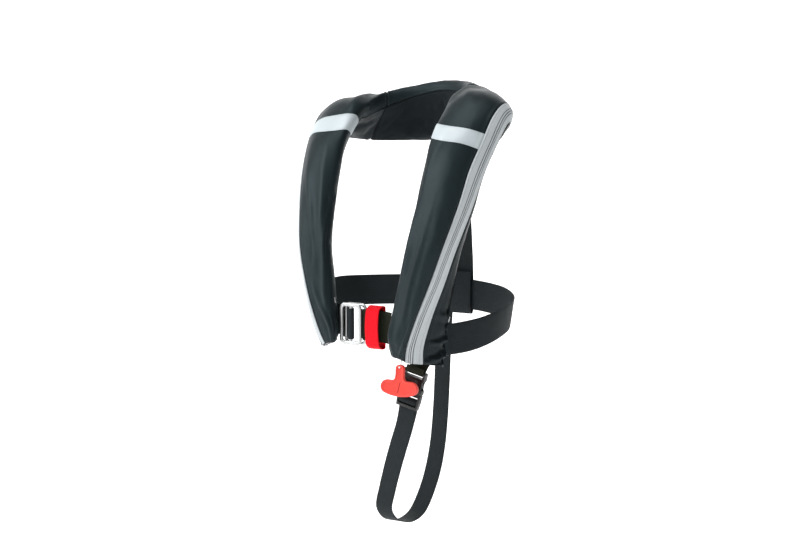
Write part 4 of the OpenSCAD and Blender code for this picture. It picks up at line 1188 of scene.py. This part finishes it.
def sleeve(name, lo, hi, nd, mt, seed):
    """Flat fabric tunnel round the belt between two stations of its path."""
    ts = np.linspace(lo, hi, 13)
    P = np.array([cr(np.array(BELT, float), t) for t in ts])
    W = np.array([cr(belt_W, t) for t in ts])
    T = unit(np.gradient(P, axis=0))
    N = unit(np.cross(T, W))
    U = unit(np.cross(N, T))
    s = np.concatenate([[0], np.cumsum(np.linalg.norm(np.diff(P, axis=0), axis=1))])

    def loop(w, h, n=9):
        xs = np.linspace(-w, w, n)
        return [(x, h - 0.35 * (abs(x) / w) ** 4) for x in xs] + [(w + 0.7, 0)] + [(x, -h + 0.35 * (abs(x) / w) ** 4) for x in xs[::-1]] + [(-w - 0.7, 0)]
    out, inn = np.array(loop(24.9, 1.95)), np.array(loop(24.1, 1.15))
    m, n = len(out), len(P)
    V = []
    for pr in (out, inn):
        V.append(P[:, None, :] + pr[None, :, 0, None] * U[:, None, :] + pr[None, :, 1, None] * N[:, None, :])
    for i in range(n):
        for j in range(m):
            V[0][i, j] += N[i] * 0.3 * noise.noise(Vector((s[i] / 9 + seed, out[j, 0] / 20, 2.0)))
    f = grid_quads(n, m, wrap=True) + grid_quads(n, m, wrap=True, off=n * m, flip=True)
    o = n * m
    for j in range(m):
        k = (j + 1) % m
        f.append((j, o + j, o + k, k))
        a = (n - 1) * m
        f.append((a + j, a + k, o + a + k, o + a + j))
    cl = np.zeros((2, n, m, 3))
    cl[..., 0] = out[None, None, :, 0] / 1000
    cl[..., 1] = s[None, :, None] / 1000
    ob = outward(link_mesh(name, np.concatenate([v.reshape(-1, 3) for v in V]), f, "jacket", mt, cl.reshape(-1, 3), True, 50))
    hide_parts(nd)
    return ob


sleeve("belt_tunnel_left_fabric", 7 / 3, 3.0, "belt_tunnel_left", "side", 1.0)
sleeve("belt_tunnel_right_fabric", 14.0, 44 / 3, "belt_tunnel_right", "side", 5.0)

BACK = [[2, 100, -53.5], [2, 108, -75], [2, 116, -115], [2, 122, -165], [2, 128, -230], [2, 130.6, -285],
        [2, 130.8, -318], [2, 127.2, -329], [2, 122.6, -320], [2, 122.2, -296], [2, 123.4, -262]]
back_ob = ribbon("back_strap_web", BACK, (1, 0, 0), 38, 1.7, "jacket", "webbing", 2.8, 0.3, 8.0)
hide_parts("back_strap")

BK = np.array([77.8, -105.5, -387])
RB = rot("Z", 8) @ rot("Y", 15)
bk = frame_of(BK, RB)
BKX = RB @ np.array([1, 0, 0])
UP = [[80.2, -90, -308], [80, -89.6, -330], [79.6, -89, -348], [79.8, -89.8, -361], [80, -93, -371], [79.6, -98, -378]]
UP += [list(bk(p)) for p in ([0, 4, 2.5], [0, 3.9, -1], [0, 2.4, -4.6], [0, 0, -5.4], [0, -2.4, -4.6], [0, -3.9, -1], [0, -3.9, 2.5], [0, -3.4, 6])]
c38 = np.array([math.cos(math.radians(38)), math.sin(math.radians(38)), 0])
UP_W = [(1 - ease(-380, -361, p[2])) * BKX + ease(-380, -361, p[2]) * c38 for p in UP]
up_ob = ribbon("crotch_strap_upper_web", UP, UP_W, 30, 1.7, "jacket", "olive", 1.6, 0.15, 3.3)
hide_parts("crotch_strap_upper")
CA = [list(bk(p)) for p in ([0, 6.9, -80], [0, 6.8, -64], [0, 6.4, -52], [0, 5.4, -46.4], [0, 2.6, -43.9], [0, 0, -43.6], [0, -3.6, -44.6],
                            [0, -4.7, -48.4], [0, -3.4, -51.8], [0, 0.6, -52.6], [0, 3.2, -55.4], [0, 3.6, -62])]
CB = [[55, -103, -472], [40, -99, -508], [25, -93, -542], [10, -86, -578], [-1, -80, -609], [-1, -66, -628], [-1, -45, -636.5],
      [-2, -20, -640], [-5, 12, -633], [-10, 42, -611], [-17, 72, -579], [-24, 97, -535], [-29, 112, -480], [-32, 121, -420],
      [-33.5, 127, -360], [-33.5, 130.4, -318], [-33.5, 130.4, -282], [-33.5, 126, -264], [-33.5, 119.8, -276], [-33.5, 118.8, -312]]
CS = CA + CB
CS_W = []
for i in range(len(CS)):
    f = min(max((i - 11) / 4.0, 0), 1)
    CS_W.append((1 - f) * BKX + f * np.array([1.0, 0, 0]))
cs_ob = ribbon("crotch_strap_web", CS, CS_W, 30, 1.7, "jacket", "webbing", 2.4, 0.3, 5.5)
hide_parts("crotch_strap")

# red loop of folded tape round the belt's layers
LP = [[-106.2, -29.6], [-107.6, -31.7], [-111.5, -32.3], [-115.2, -31.9], [-119, -29.6], [-121.9, -27.2], [-123.7, -21], [-124.6, -13.8], [-125.2, -7],
      [-125.4, 0], [-125.2, 7], [-124.6, 13.8], [-123.7, 21], [-121.9, 27.2], [-119, 29.6], [-115.2, 31.9], [-111.5, 32.3], [-107.6, 31.7],
      [-106.2, 29.6], [-105.7, 15], [-105.7, 0], [-105.7, -15]]
loop_pts = [[9.1, p[0], -326.4 + p[1]] for p in LP]
loop_ob = ribbon("soft_loop_tape", loop_pts, (1, 0, 0), 24.6, 1.7, "loop", "red", 1.3, 0.12, 2.2, closed=True)
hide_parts("soft_loop")


# ---------------------------------------------------------------- steel plate and ring
def corner_path(w, h, r, y, k=12, side=10):
    out = []
    for cx, cz, a0 in ((w / 2 - r, h / 2 - r, 0), (-w / 2 + r, h / 2 - r, 90), (-w / 2 + r, -h / 2 + r, 180), (w / 2 - r, -h / 2 + r, 270)):
        for i in range(k + 1):
            a = math.radians(a0 + 90 * i / k)
            out.append((cx + r * math.cos(a), y, cz + r * math.sin(a), math.cos(a), math.sin(a)))
    return out


def frame_loop(name, w, h, r, at, prof, body, mat, k=12):
    """Closed rounded-rectangle frame with the given section (out, back)."""
    pts = corner_path(w, h, r, 0, k)
    X = np.array([[at[0] + p[0], at[1] + p[1], at[2] + p[2]] for p in pts])
    A = np.array([[p[3], 0, p[4]] for p in pts])
    B = np.tile(np.array([0.0, 1.0, 0.0]), (len(X), 1))
    return sweep(name, X, A, B, prof, body, mat, True)


def oval(a, b, n=20, p=2.6):
    out = []
    for i in range(n):
        t = 2 * math.pi * i / n
        c, s = math.cos(t), math.sin(t)
        out.append((a * math.copysign(abs(c) ** (2 / p), c), b * math.copysign(abs(s) ** (2 / p), s)))
    return out


def capped_bar(name, a, b, r, body, mat, n=24):
    P = np.array([np.array(a, float) + (np.array(b, float) - np.array(a, float)) * t for t in np.linspace(0, 1, 14)])
    return tube(name, P, r, body, mat, 3.0, n)


pf = frame_loop("plate_frame", 41 - 6, 64 - 6, 6.5, (PX, PY, HZ), oval(3.0, 2.0, 20, 3.2), "plate", "steel")
pb = capped_bar("plate_bar", (PX, PY + 1, HZ - 27), (PX, PY + 1, HZ + 27), 2.45, "plate", "steel")
plate_ob = join("buckle_plate_steel", [pf, pb], "plate")
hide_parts("buckle_plate")
ring_ob = frame_loop("buckle_ring_steel", 41 - 5, 64 - 5, 6.0, (RX, RY, HZ), oval(2.5, 2.5, 20, 2.0), "ring", "steel")
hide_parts("buckle_ring")


# ---------------------------------------------------------------- pull toggle
TR = rot("Z", 12) @ rot("Y", 3)
tg = frame_of(EYE, TR)


def toggle_outline():
    half = [(0, 3), (4.5, 2.2), (6.9, -1), (7.2, -6), (7.2, -13), (8, -18), (11, -20.8), (16, -21.2), (22, -21.4), (27, -24), (30, -29),
            (30.2, -34), (28, -38.5), (23, -41.6), (16, -43.6), (8, -45), (0, -45.5)]
    full = half + [(-x, z) for x, z in half[-2:0:-1]]
    P = np.array([[x, 0, z] for x, z in full], float)
    Q = np.vstack([P[-2:], P, P[:3]])
    X, s, tt = spline(Q, 1.1)
    keep = (tt >= 2) & (tt < 2 + len(P) - 0.02)
    return X[keep][:, [0, 2]]


TO = toggle_outline()
TC = np.array([0.0, -30.0])


def inset(O, d):
    """Moves a closed outline inward along its normals."""
    T = unit(np.roll(O, -1, 0) - np.roll(O, 1, 0))
    Nn = np.stack([T[:, 1], -T[:, 0]], 1)
    area = 0.5 * np.sum(O[:, 0] * np.roll(O[:, 1], -1) - np.roll(O[:, 0], -1) * O[:, 1])
    if area < 0:
        Nn = -Nn
    q = O - Nn * d
    if d > 1.5:
        for _ in range(int(d * 2)):
            q = 0.5 * q + 0.25 * (np.roll(q, 1, 0) + np.roll(q, -1, 0))
    return q


def toggle_body():
    rings = []
    th = 3.4
    for d, y in ((0, 0), (0.05, -th + 1.5), (0.5, -th + 0.5), (1.3, -th), (2.3, -th), (2.9, -th + 0.25), (3.3, -th + 0.8), (3.9, -th + 0.95)):
        rings.append((inset(TO, d), y))
    m = len(TO)
    V, F = [], []
    front = []
    for O, y in rings:
        front.append(len(V))
        V += [(p[0], y, p[1]) for p in O]
    back = []
    for O, y in rings[1:]:
        back.append(len(V))
        V += [(p[0], -y, p[1]) for p in O]
    for seq, flip in ((front, False), ([front[0]] + back, True)):
        for a, b in zip(seq[:-1], seq[1:]):
            for j in range(m):
                k = (j + 1) % m
                q = (a + j, a + k, b + k, b + j)
                F.append(q[::-1] if flip else q)
    F.append(tuple(front[-1] + j for j in range(m)))
    F.append(tuple(back[-1] + j for j in range(m))[::-1])
    bm = bmesh.new()
    vs = [bm.verts.new(Vector(tg(v)) / 1000) for v in V]
    for f in F:
        bm.faces.new([vs[i] for i in f])
    bmesh.ops.recalc_face_normals(bm, faces=bm.faces)
    bmesh.ops.triangulate(bm, faces=[f for f in bm.faces if len(f.verts) > 4])
    me = bpy.data.meshes.new("toggle")
    bm.to_mesh(me)
    bm.free()
    me.polygons.foreach_set("use_smooth", [True] * len(me.polygons))
    ob = bpy.data.objects.new("pull_toggle_moulding", me)
    COLL.objects.link(ob)
    ob.data.materials.append(MAT["coral"])
    return ob


def cutter(lo, hi, fr, r=0.4, mat="black"):
    ob = rounded_box("cut", lo, hi, r, fr, None, mat, 2)
    return ob


def boolean_cut(ob, cuts):
    for c in cuts:
        m = ob.modifiers.new("cut", "BOOLEAN")
        m.operation = "DIFFERENCE"
        m.solver = "EXACT"
        m.object = c
        m.material_mode = "TRANSFER"
    bpy.context.view_layer.update()
    dg = bpy.context.evaluated_depsgraph_get()
    me = bpy.data.meshes.new_from_object(ob.evaluated_get(dg))
    ob.modifiers.clear()
    old = ob.data
    ob.data = me
    bpy.data.meshes.remove(old)
    for c in cuts:
        bpy.data.objects.remove(c)
    return ob


def sharpen(ob, deg=35):
    me = ob.data
    bm = bmesh.new()
    bm.from_mesh(me)
    for e in bm.edges:
        e.smooth = not (len(e.link_faces) == 2 and e.calc_face_angle(0) > math.radians(deg))
    bm.to_mesh(me)
    bm.free()
    me.polygons.foreach_set("use_smooth", [True] * len(me.polygons))
    return ob


toggle = toggle_body()
# the cutters carry the darker coral onto the cut walls: painted shade in the eye hole and grooves
hole = tube("cut", [tg((0, -9, 0)), tg((0, -3, 0)), tg((0, 3, 0)), tg((0, 9, 0))], 1.5, None, "coral_painted_shade", 2.0, 20)
stem_cut = cutter((-1.1, -5, -19.5), (1.1, -2.6, -5.0), tg, 0.5, "coral_painted_shade")
sr, cr_ = math.sin(math.radians(12)), math.cos(math.radians(12))
slant = frame_of(tg((0, 0, -31.5)), TR @ np.array([[cr_, 0, sr], [0, 1, 0], [-sr, 0, cr_]]))
slant_cut = cutter((-0.45, -5, -8.5), (0.45, -1.9, 8.5), slant, 0.25, "coral_painted_shade")
toggle = sharpen(boolean_cut(toggle, [hole, stem_cut, slant_cut]), 40)
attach(toggle, "toggle")
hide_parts("pull_toggle")
# knot ring of the cord in the toggle's eye
knot = tube("cord_knot", [tg((0, -3.0, 0.6)), tg((0.9, -3.9, -0.4)), tg((0.2, -4.1, -1.4)), tg((-0.9, -3.8, -0.6)), tg((0, -3.2, 0.5))], 0.85, "toggle", "cord", 0.6, 12)

# ---------------------------------------------------------------- side-release buckle
def prism(name, poly, y0, y1, fr, mat, body=None, r=0.0):
    """Extrudes a local (x, z) outline between two y values, with rounded rims."""
    bm = bmesh.new()
    vs = [bm.verts.new((p[0], y0, p[1])) for p in poly]
    fc = bm.faces.new(vs)
    res = bmesh.ops.extrude_face_region(bm, geom=[fc])
    for e in res["geom"]:
        if isinstance(e, bmesh.types.BMVert):
            e.co.y = y1
    bmesh.ops.recalc_face_normals(bm, faces=bm.faces)
    if r:
        bmesh.ops.bevel(bm, geom=list(bm.edges), offset=r, segments=3, profile=0.5, affect="EDGES", clamp_overlap=True)
    vs = [fr(v.co) for v in bm.verts]
    fs = [[v.index for v in f.verts] for f in bm.faces]
    bm.free()
    return outward(link_mesh(name, vs, fs, body, mat, None, True, 40))


BW = 38.0
SOCK = [(-19, -1), (-17, 0.5), (17, 0.5), (19, -1), (19, -12), (17, -15), (17, -25), (19, -28), (19, -34), (-19, -34), (-19, -28), (-17, -25), (-17, -15), (-19, -12)]
sock = prism("crotch_buckle_socket_shell", SOCK, -5.5, 5.5, bk, "black", None, 0.9)
cuts = [cutter((-15.8, -10, -9.2), (15.8, 10, -3.2), bk, 0.5), cutter((-16.2, -3.4, -38), (16.2, 3.4, -11), bk, 0.4),
        cutter((-22, -3.4, -27), (-13, 3.4, -12), bk, 0.4), cutter((13, -3.4, -27), (22, 3.4, -12), bk, 0.4),
        cutter((-15.8, -8, -4), (15.8, -2.2, 2), bk, 0.3), cutter((-15.8, 2.2, -4), (15.8, 8, 2), bk, 0.3),
        cutter((-9.5, -8, -31.2), (9.5, -4.75, -13.5), bk, 1.0)]
sock = sharpen(boolean_cut(sock, cuts), 38)
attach(sock, "jacket")
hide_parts("crotch_buckle_socket")
CLIP = [(-19, -34.5), (19, -34.5), (19, -46), (17.5, -59), (-17.5, -59), (-19, -46)]
clip = prism("crotch_buckle_clip_shell", CLIP, -4.7, 4.7, bk, "black", None, 0.8)
blade = rounded_box("blade", (-3, -2.6, -36), (3, 2.6, -14), 0.5, bk, None, "black", 2)
clip = join("crotch_buckle_clip_body", [clip, blade], None)
cuts = [cutter((-15.6, -10, -46.2), (15.6, 10, -39.3), bk, 0.5), cutter((-15.6, -10, -54.8), (15.6, 10, -50.2), bk, 0.5),
        cutter((-15.6, -6, -50.6), (15.6, -3.4, -45.8), bk, 0.3), cutter((-15.6, 1.4, -60), (15.6, 6.4, -46.1), bk, 0.3)]
for x in (-11, 11):
    cuts.append(tube("cut", [bk((x, -6, -36)), bk((x, -2, -36)), bk((x, 2, -36)), bk((x, 6, -36))], 3.1, None, "black", 2, 24))
clip = sharpen(boolean_cut(clip, cuts), 38)
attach(clip, "jacket")
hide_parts("crotch_buckle_clip")

# ---------------------------------------------------------------- hems
def hem(name, row, sgn, nd):
    """Gathered end of a lobe: dished panel inside the section, with a rolled edge."""
    ring = BASE[row, :NC]
    nr = NORM[row, :NC]
    T = unit(BASE[RN, :NC].mean(0) - BASE[RN - 1, :NC].mean(0)) if sgn > 0 else unit(BASE[0, :NC].mean(0) - BASE[1, :NC].mean(0))
    c = ring.mean(0)
    V = []
    steps = [(1.0, -0.6), (1.0, 0.5), (0.985, 1.1), (0.95, 0.9), (0.90, 0.2), (0.8, -0.8), (0.6, -1.6), (0.35, -2.0), (0.12, -2.1)]
    for f, h in steps:
        for j in range(NC):
            pl = 0.35 * math.sin(j * 2 * math.pi * 9 / NC) * (f < 0.97)
            V.append(c + (ring[j] - nr[j] * 0.9 - c) * f + T * (h * 0.5 + pl - 0.4))
    n = len(steps)
    F = grid_quads(n, NC, wrap=True)
    o = len(V)
    V.append(c - T * 1.5)
    F += [((n - 1) * NC + j, (n - 1) * NC + (j + 1) % NC, o) for j in range(NC)]
    base = len(V)
    for f, h in ((1.0, -2.4), (0.5, -3.6)):
        for j in range(NC):
            V.append(c + (ring[j] - nr[j] * 0.9 - c) * f * 0.99 + T * h)
    F += [(j, (j + 1) % NC, base + (j + 1) % NC, base + j) for j in range(NC)]
    F += grid_quads(2, NC, wrap=True, off=base)
    o2 = len(V)
    V.append(c - T * 4)
    F += [(base + NC + j, base + NC + (j + 1) % NC, o2) for j in range(NC)]
    ob = outward(link_mesh(name, V, F, "jacket", "side", None, True, 60))
    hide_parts(nd)
    return ob


hem("hem_left_fabric", RN, 1, "hem_panel_left")
hem("hem_right_fabric", 0, -1, "hem_panel_right")

# ---------------------------------------------------------------- bladder
def bladder_ring(s, k_=26):
    c = sec(s)
    t = abs(s - 12)
    k = ease(4.5, 6.5, t)
    a_, b_ = sec(s - 0.05), sec(s + 0.05)
    mid_ = lambda q: (q[0] + q[2] + q[4] + q[5]) / 4
    T = unit(mid_(b_) - mid_(a_))
    c0 = (c[0] + c[2]) / 4 + (c[4] + c[5]) / 4
    c1 = 0.17 * c[0] + 0.51 * c[5] + 0.32 * c[4]
    o = c0 * (1 - k) + c1 * k
    wa = c[5] + c[4] - c[0] - c[2]
    wa = unit(wa - T * np.dot(wa, T))
    wb = np.cross(T, wa)
    end = 1 - 0.45 * ease(9.7, 10.2, t)
    a, b = (17 * (1 - k) + 8.8 * k) * end, (7 * (1 - k) + 4.6 * k) * end
    out = []
    for i in range(k_):
        an = 2 * math.pi * i / k_
        f = 1 + 0.05 * math.sin(3 * an + s * 1.7) + 0.04 * math.sin(5 * an - s * 3.1)
        out.append(o + (wa * a * math.cos(an) + wb * b * math.sin(an)) * f * 0.97)
    return out


bs = np.linspace(1.85, 22.15, 150)
BV = [p for s in bs for p in bladder_ring(s)]
BF = grid_quads(len(bs), 26, wrap=True) + [tuple(range(26))[::-1], tuple((len(bs) - 1) * 26 + j for j in range(26))]
bcl = np.zeros((len(bs), 26, 3))
bcl[..., 0] = np.arange(26)[None, :] * 0.004
bcl[..., 1] = bs[:, None] * 0.05
bl_ob = outward(link_mesh("bladder_tube", BV, BF, "jacket", "bladder", bcl.reshape(-1, 3), True, 60))
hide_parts("bladder")

# ---------------------------------------------------------------- zip slider
SL_AT = np.array([0, 118, -38])
SR = rot("Y", 86.7923) @ rot("Z", 160.61)
sl = frame_of(SL_AT, SR)
sb = [rounded_box("s1", (-5.5, -5.2, -7), (5.5, -2.7, 7), 0.9, sl, None, "slider", 3),
      rounded_box("s2", (-1.6, -8.4, -4.5), (1.6, -7.4, 4.5), 0.4, sl, None, "slider", 2),
      rounded_box("s3", (-1.6, -8.2, 3.2), (1.6, -5.0, 4.5), 0.4, sl, None, "slider", 2),
      rounded_box("s4", (-1.6, -8.2, -4.5), (1.6, -5.0, -3.2), 0.4, sl, None, "slider", 2)]
sl_ob = join("zip_slider_cast", sb, "slider")
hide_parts("zip_slider")
tab = [rounded_box("t1", (-3.8, -7.4, -20), (3.8, -5.8, -8), 0.6, sl, None, "slider", 3),
       rounded_box("t2", (-3.8, -7.4, -9), (-2.2, -5.8, 0.7), 0.5, sl, None, "slider", 2),
       rounded_box("t3", (2.2, -7.4, -9), (3.8, -5.8, 0.7), 0.5, sl, None, "slider", 2),
       tube("t4", [sl((-3.6, -6.6, 0)), sl((-1, -6.6, 0)), sl((1, -6.6, 0)), sl((3.6, -6.6, 0))], 0.75, None, "slider", 1.5, 14)]
tab_ob = join("zip_pull_cast", tab, "slider_tab")
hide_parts("zip_pull")

# ---------------------------------------------------------------- sewn ends and bar-tacks
def bar_tack(name, at, along, across_, nrm, length, width, mat, body="jacket", lift=0.15):
    """Dense block of zigzag thread."""
    V, F = [], []
    at, along, across_, nrm = (np.array(x, float) for x in (at, along, across_, nrm))
    n = max(4, int(length / 0.55))
    pts = []
    for i in range(n + 1):
        pts.append(at + along * (-length / 2 + length * i / n) + across_ * (width / 2 if i % 2 else -width / 2) + nrm * lift)
    for a, b in zip(pts[:-1], pts[1:]):
        o = len(V)
        t = unit(b - a)
        s_ = np.cross(nrm, t)
        for p, h in ((a, -0.15), ((a + b) / 2, 0.35), (b, -0.15)):
            for dx, dh in ((-0.34, 0.0), (0, 0.3), (0.34, 0.0), (0, -0.3)):
                V.append(p + s_ * dx + nrm * (h + dh))
        for k in range(2):
            for g in range(4):
                F.append((o + k * 4 + g, o + k * 4 + (g + 1) % 4, o + (k + 1) * 4 + (g + 1) % 4, o + (k + 1) * 4 + g))
        F += [(o + 3, o + 2, o + 1, o), (o + 8, o + 9, o + 10, o + 11)]
    return outward(link_mesh(name, V, F, body, mat, None, True))


def ribbon_point(P, W, t, x, h):
    X, s, U, N = ribbon_frame(P, W, 1.0)
    f = np.clip(t * (len(X) - 1), 0, len(X) - 1)
    i = int(f)
    return X[i] + U[i] * x + N[i] * h, unit(X[min(i + 1, len(X) - 1)] - X[max(i - 1, 0)]), U[i], N[i]


CAMV = np.array([0.58, -0.81, 0.10])


def sewn_box(name, P, W, s0, s1, half, mat, side):
    """X-box stitching on webbing between two lengths along it, on the face toward the given direction."""
    X, s, U, N = ribbon_frame(P, W, 1.0)
    out = []

    def pt(a, x):
        i = int(np.clip(np.searchsorted(s, a), 0, len(X) - 1))
        n_ = N[i] if np.dot(N[i], side) > 0 else -N[i]
        return X[i] + U[i] * x + n_ * 1.0, n_
    corners = [(s0, -half), (s1, -half), (s1, half), (s0, half), (s0, -half), (s1, half), (s0, half), (s1, -half)]
    for (a0, x0), (a1, x1) in zip(corners[:-1], corners[1:]):
        k = max(3, int(math.hypot(a1 - a0, x1 - x0) / 1.5))
        q = [pt(a0 + (a1 - a0) * i / k, x0 + (x1 - x0) * i / k) for i in range(k + 1)]
        out.append((np.array([p[0] for p in q]), np.array([p[1] for p in q])))
    return stitches(name, out, "jacket", mat, 2.8, 2.1, 0.3)


Lr = ribbon_frame(END_R, [sewn_tilt(p) for p in END_R], 1.0)[1][-1]
sewn_box("belt_right_stitches", END_R, [sewn_tilt(p) for p in END_R], 3, 22, 20, "thread", (-0.3, -1, 0))
sewn_box("belt_left_stitches", END_L, [sewn_tilt(p) for p in END_L], 3, 24, 20, "thread", (0.3, -1, 0))
Lc_ = ribbon_frame(CS, CS_W, 1.0)[1][-1]
sewn_box("crotch_end_stitches", CS, CS_W, Lc_ - 42, Lc_ - 6, 11.5, "thread", (0, 1, 0))
sewn_box("back_end_stitches", BACK, (1, 0, 0), 230, 262, 15, "thread", (0, 1, 0))
for k, (fi_, fj_, ln, wd, mt) in enumerate(((229.3, 7.6, 9.0, 2.2, WHITE), (13.4, 5.2, 8.0, 2.0, WHITE), (229.0, 35.6, 8.0, 2.4, WHITE), (238.5, 24.2, 4.0, 2.0, "thread"))):
    a_, b_ = np.array([fi_]), np.array([fj_])
    at_ = bicubic(SURF, a_, b_)[0]
    n_ = unit(bilerp(SN, a_, b_))[0]
    al = unit(bicubic(SURF, a_ + 0.8, b_)[0] - bicubic(SURF, a_ - 0.8, b_)[0])
    tk = bar_tack("bar_tack_%d" % k, at_ + n_ * 0.25, al, unit(np.cross(n_, al)), n_, ln, wd, mt)
for k, (x, z) in enumerate(((-8.5, -350), (-8.5, -303))):
    pass
# tail of the belt lying behind the plate
TAIL = [[26, -106.2, -325.4], [12, -107.4, -324.2], [2, -109.0, -323.6], [-8, -110.6, -323.2], [-18, -111.2, -323], [-25.6, -110.8, -323]]
tail_ob = ribbon("belt_tail_web", TAIL, (0, 0, 1), 45, 1.5, "jacket", "webbing", 2.4, 0.2, 9.1)

# ---------------------------------------------------------------- finish of the parts kept from the model
KEEP = {"inflator_body": ("white", 0.5), "inflator_cap": ("yellow", 0.35), "inflator_lever": ("redp", 0.4), "lever_pin": ("steel", 0.15), "piercing_pin": ("steel", 0.1),
        "firing_spring": ("steel", 0.0), "safety_clip": ("green", 0.2), "gas_cylinder": ("gas", 0.0), "valve_stem": ("steel", 0.2), "valve_nut": ("steel", 0.3),
        "oral_tube": ("black", 0.3), "oral_valve": ("redp", 0.2), "oral_cap": ("yellow", 0.3), "whistle": ("orange", 0.5),
        "clip_prong_left": ("black", 0.4), "clip_prong_right": ("black", 0.4)}
for nm, (mt, bev) in KEEP.items():
    ob = bpy.data.objects.get(nm)
    if ob is None:
        continue
    ob.data.materials.clear()
    ob.data.materials.append(MAT[mt])
    w = ob.modifiers.new("weld", "WELD")
    w.merge_threshold = 0.00001
    if bev:
        b = ob.modifiers.new("edge", "BEVEL")
        b.width = bev / 1000
        b.segments = 2
        b.limit_method = "ANGLE"
        b.angle_limit = math.radians(40)
        b.harden_normals = False

# ---------------------------------------------------------------- floor and light
for o in list(bpy.data.objects):
    if o.name in ("Cube", "Light", "Camera"):
        bpy.data.objects.remove(o)

fm, ft, fb = new_mat("studio_floor")
fv = coords(ft)
fb.inputs["Roughness"].default_value = 0.85
ft.links.new(mix_color(ft, noise_tex(ft, fv, 3.0), (0.93, 0.93, 0.93, 1), (0.95, 0.95, 0.95, 1)), fb.inputs["Base Color"])
fb.inputs["Emission Color"].default_value = (1, 1, 1, 1)
fb.inputs["Emission Strength"].default_value = 0.55
fwd = Vector((CAM_TO.x - CAM_AT.x, CAM_TO.y - CAM_AT.y, 0)).normalized()
rgt = Vector((fwd.y, -fwd.x, 0))
prof = [(-9, 0)]
prof += [(3.2, 0)] + [(3.2 + 1.6 * math.sin(a), 1.6 - 1.6 * math.cos(a)) for a in np.linspace(0.05, math.pi / 2, 20)] + [(4.8, 9.0)]
V, F = [], []
for d, z in prof:
    for x in (-9, 9):
        p = fwd * d + rgt * x
        V.append((p.x * 1000, p.y * 1000, (z - 0.668) * 1000))
for i in range(len(prof) - 1):
    F.append((2 * i, 2 * i + 1, 2 * i + 3, 2 * i + 2))
floor = link_mesh("studio_sweep", V, F, None, fm, None, True)
world = bpy.data.worlds.new("studio")
bpy.context.scene.world = world
world.use_nodes = True
world.node_tree.nodes["Background"].inputs[0].default_value = (1, 1, 1, 1)
world.node_tree.nodes["Background"].inputs[1].default_value = 0.30


def area(name, at, to, size, power, color=(1, 1, 1)):
    d = bpy.data.lights.new(name, "AREA")
    d.shape = "RECTANGLE"
    d.size, d.size_y = size
    d.energy = power
    d.color = color
    o = bpy.data.objects.new(name, d)
    COLL.objects.link(o)
    o.location = at
    o.rotation_euler = (Vector(to) - Vector(at)).to_track_quat("-Z", "Y").to_euler()
    return o


ctr = Vector((0, 0, -0.2))
key_at = ctr - fwd * 0.9 - rgt * 2.3 + Vector((0, 0, 1.5))
area("key", key_at, ctr, (1.0, 1.0), 44)
area("top", ctr + Vector((0, 0, 2.2)) - fwd * 0.5 - rgt * 0.5, ctr, (1.3, 1.0), 26)
area("left", ctr - rgt * 2.2 - fwd * 0.2 + Vector((0, 0, 0.2)), ctr, (0.8, 1.8), 14)
area("front", ctr - fwd * 2.6 + rgt * 0.2 + Vector((0, 0, 0.2)), ctr, (1.2, 1.2), 3)
area("wash", ctr + fwd * 2.4 + Vector((0, 0, 2.4)), ctr + fwd * 4.6 + Vector((0, 0, 0.4)), (3.5, 1.5), 60)

# ---------------------------------------------------------------- sizes
lo, hi = [1e9] * 3, [-1e9] * 3
bpy.context.view_layer.update()
hidden = {o.name for o in bpy.data.objects if o.hide_render}
for o in bpy.data.objects:
    if o.type != "MESH" or o is floor or o.hide_render:
        continue
    for c in o.bound_box:
        p = o.matrix_world @ Vector(c)
        for i in range(3):
            lo[i], hi[i] = min(lo[i], p[i]), max(hi[i], p[i])
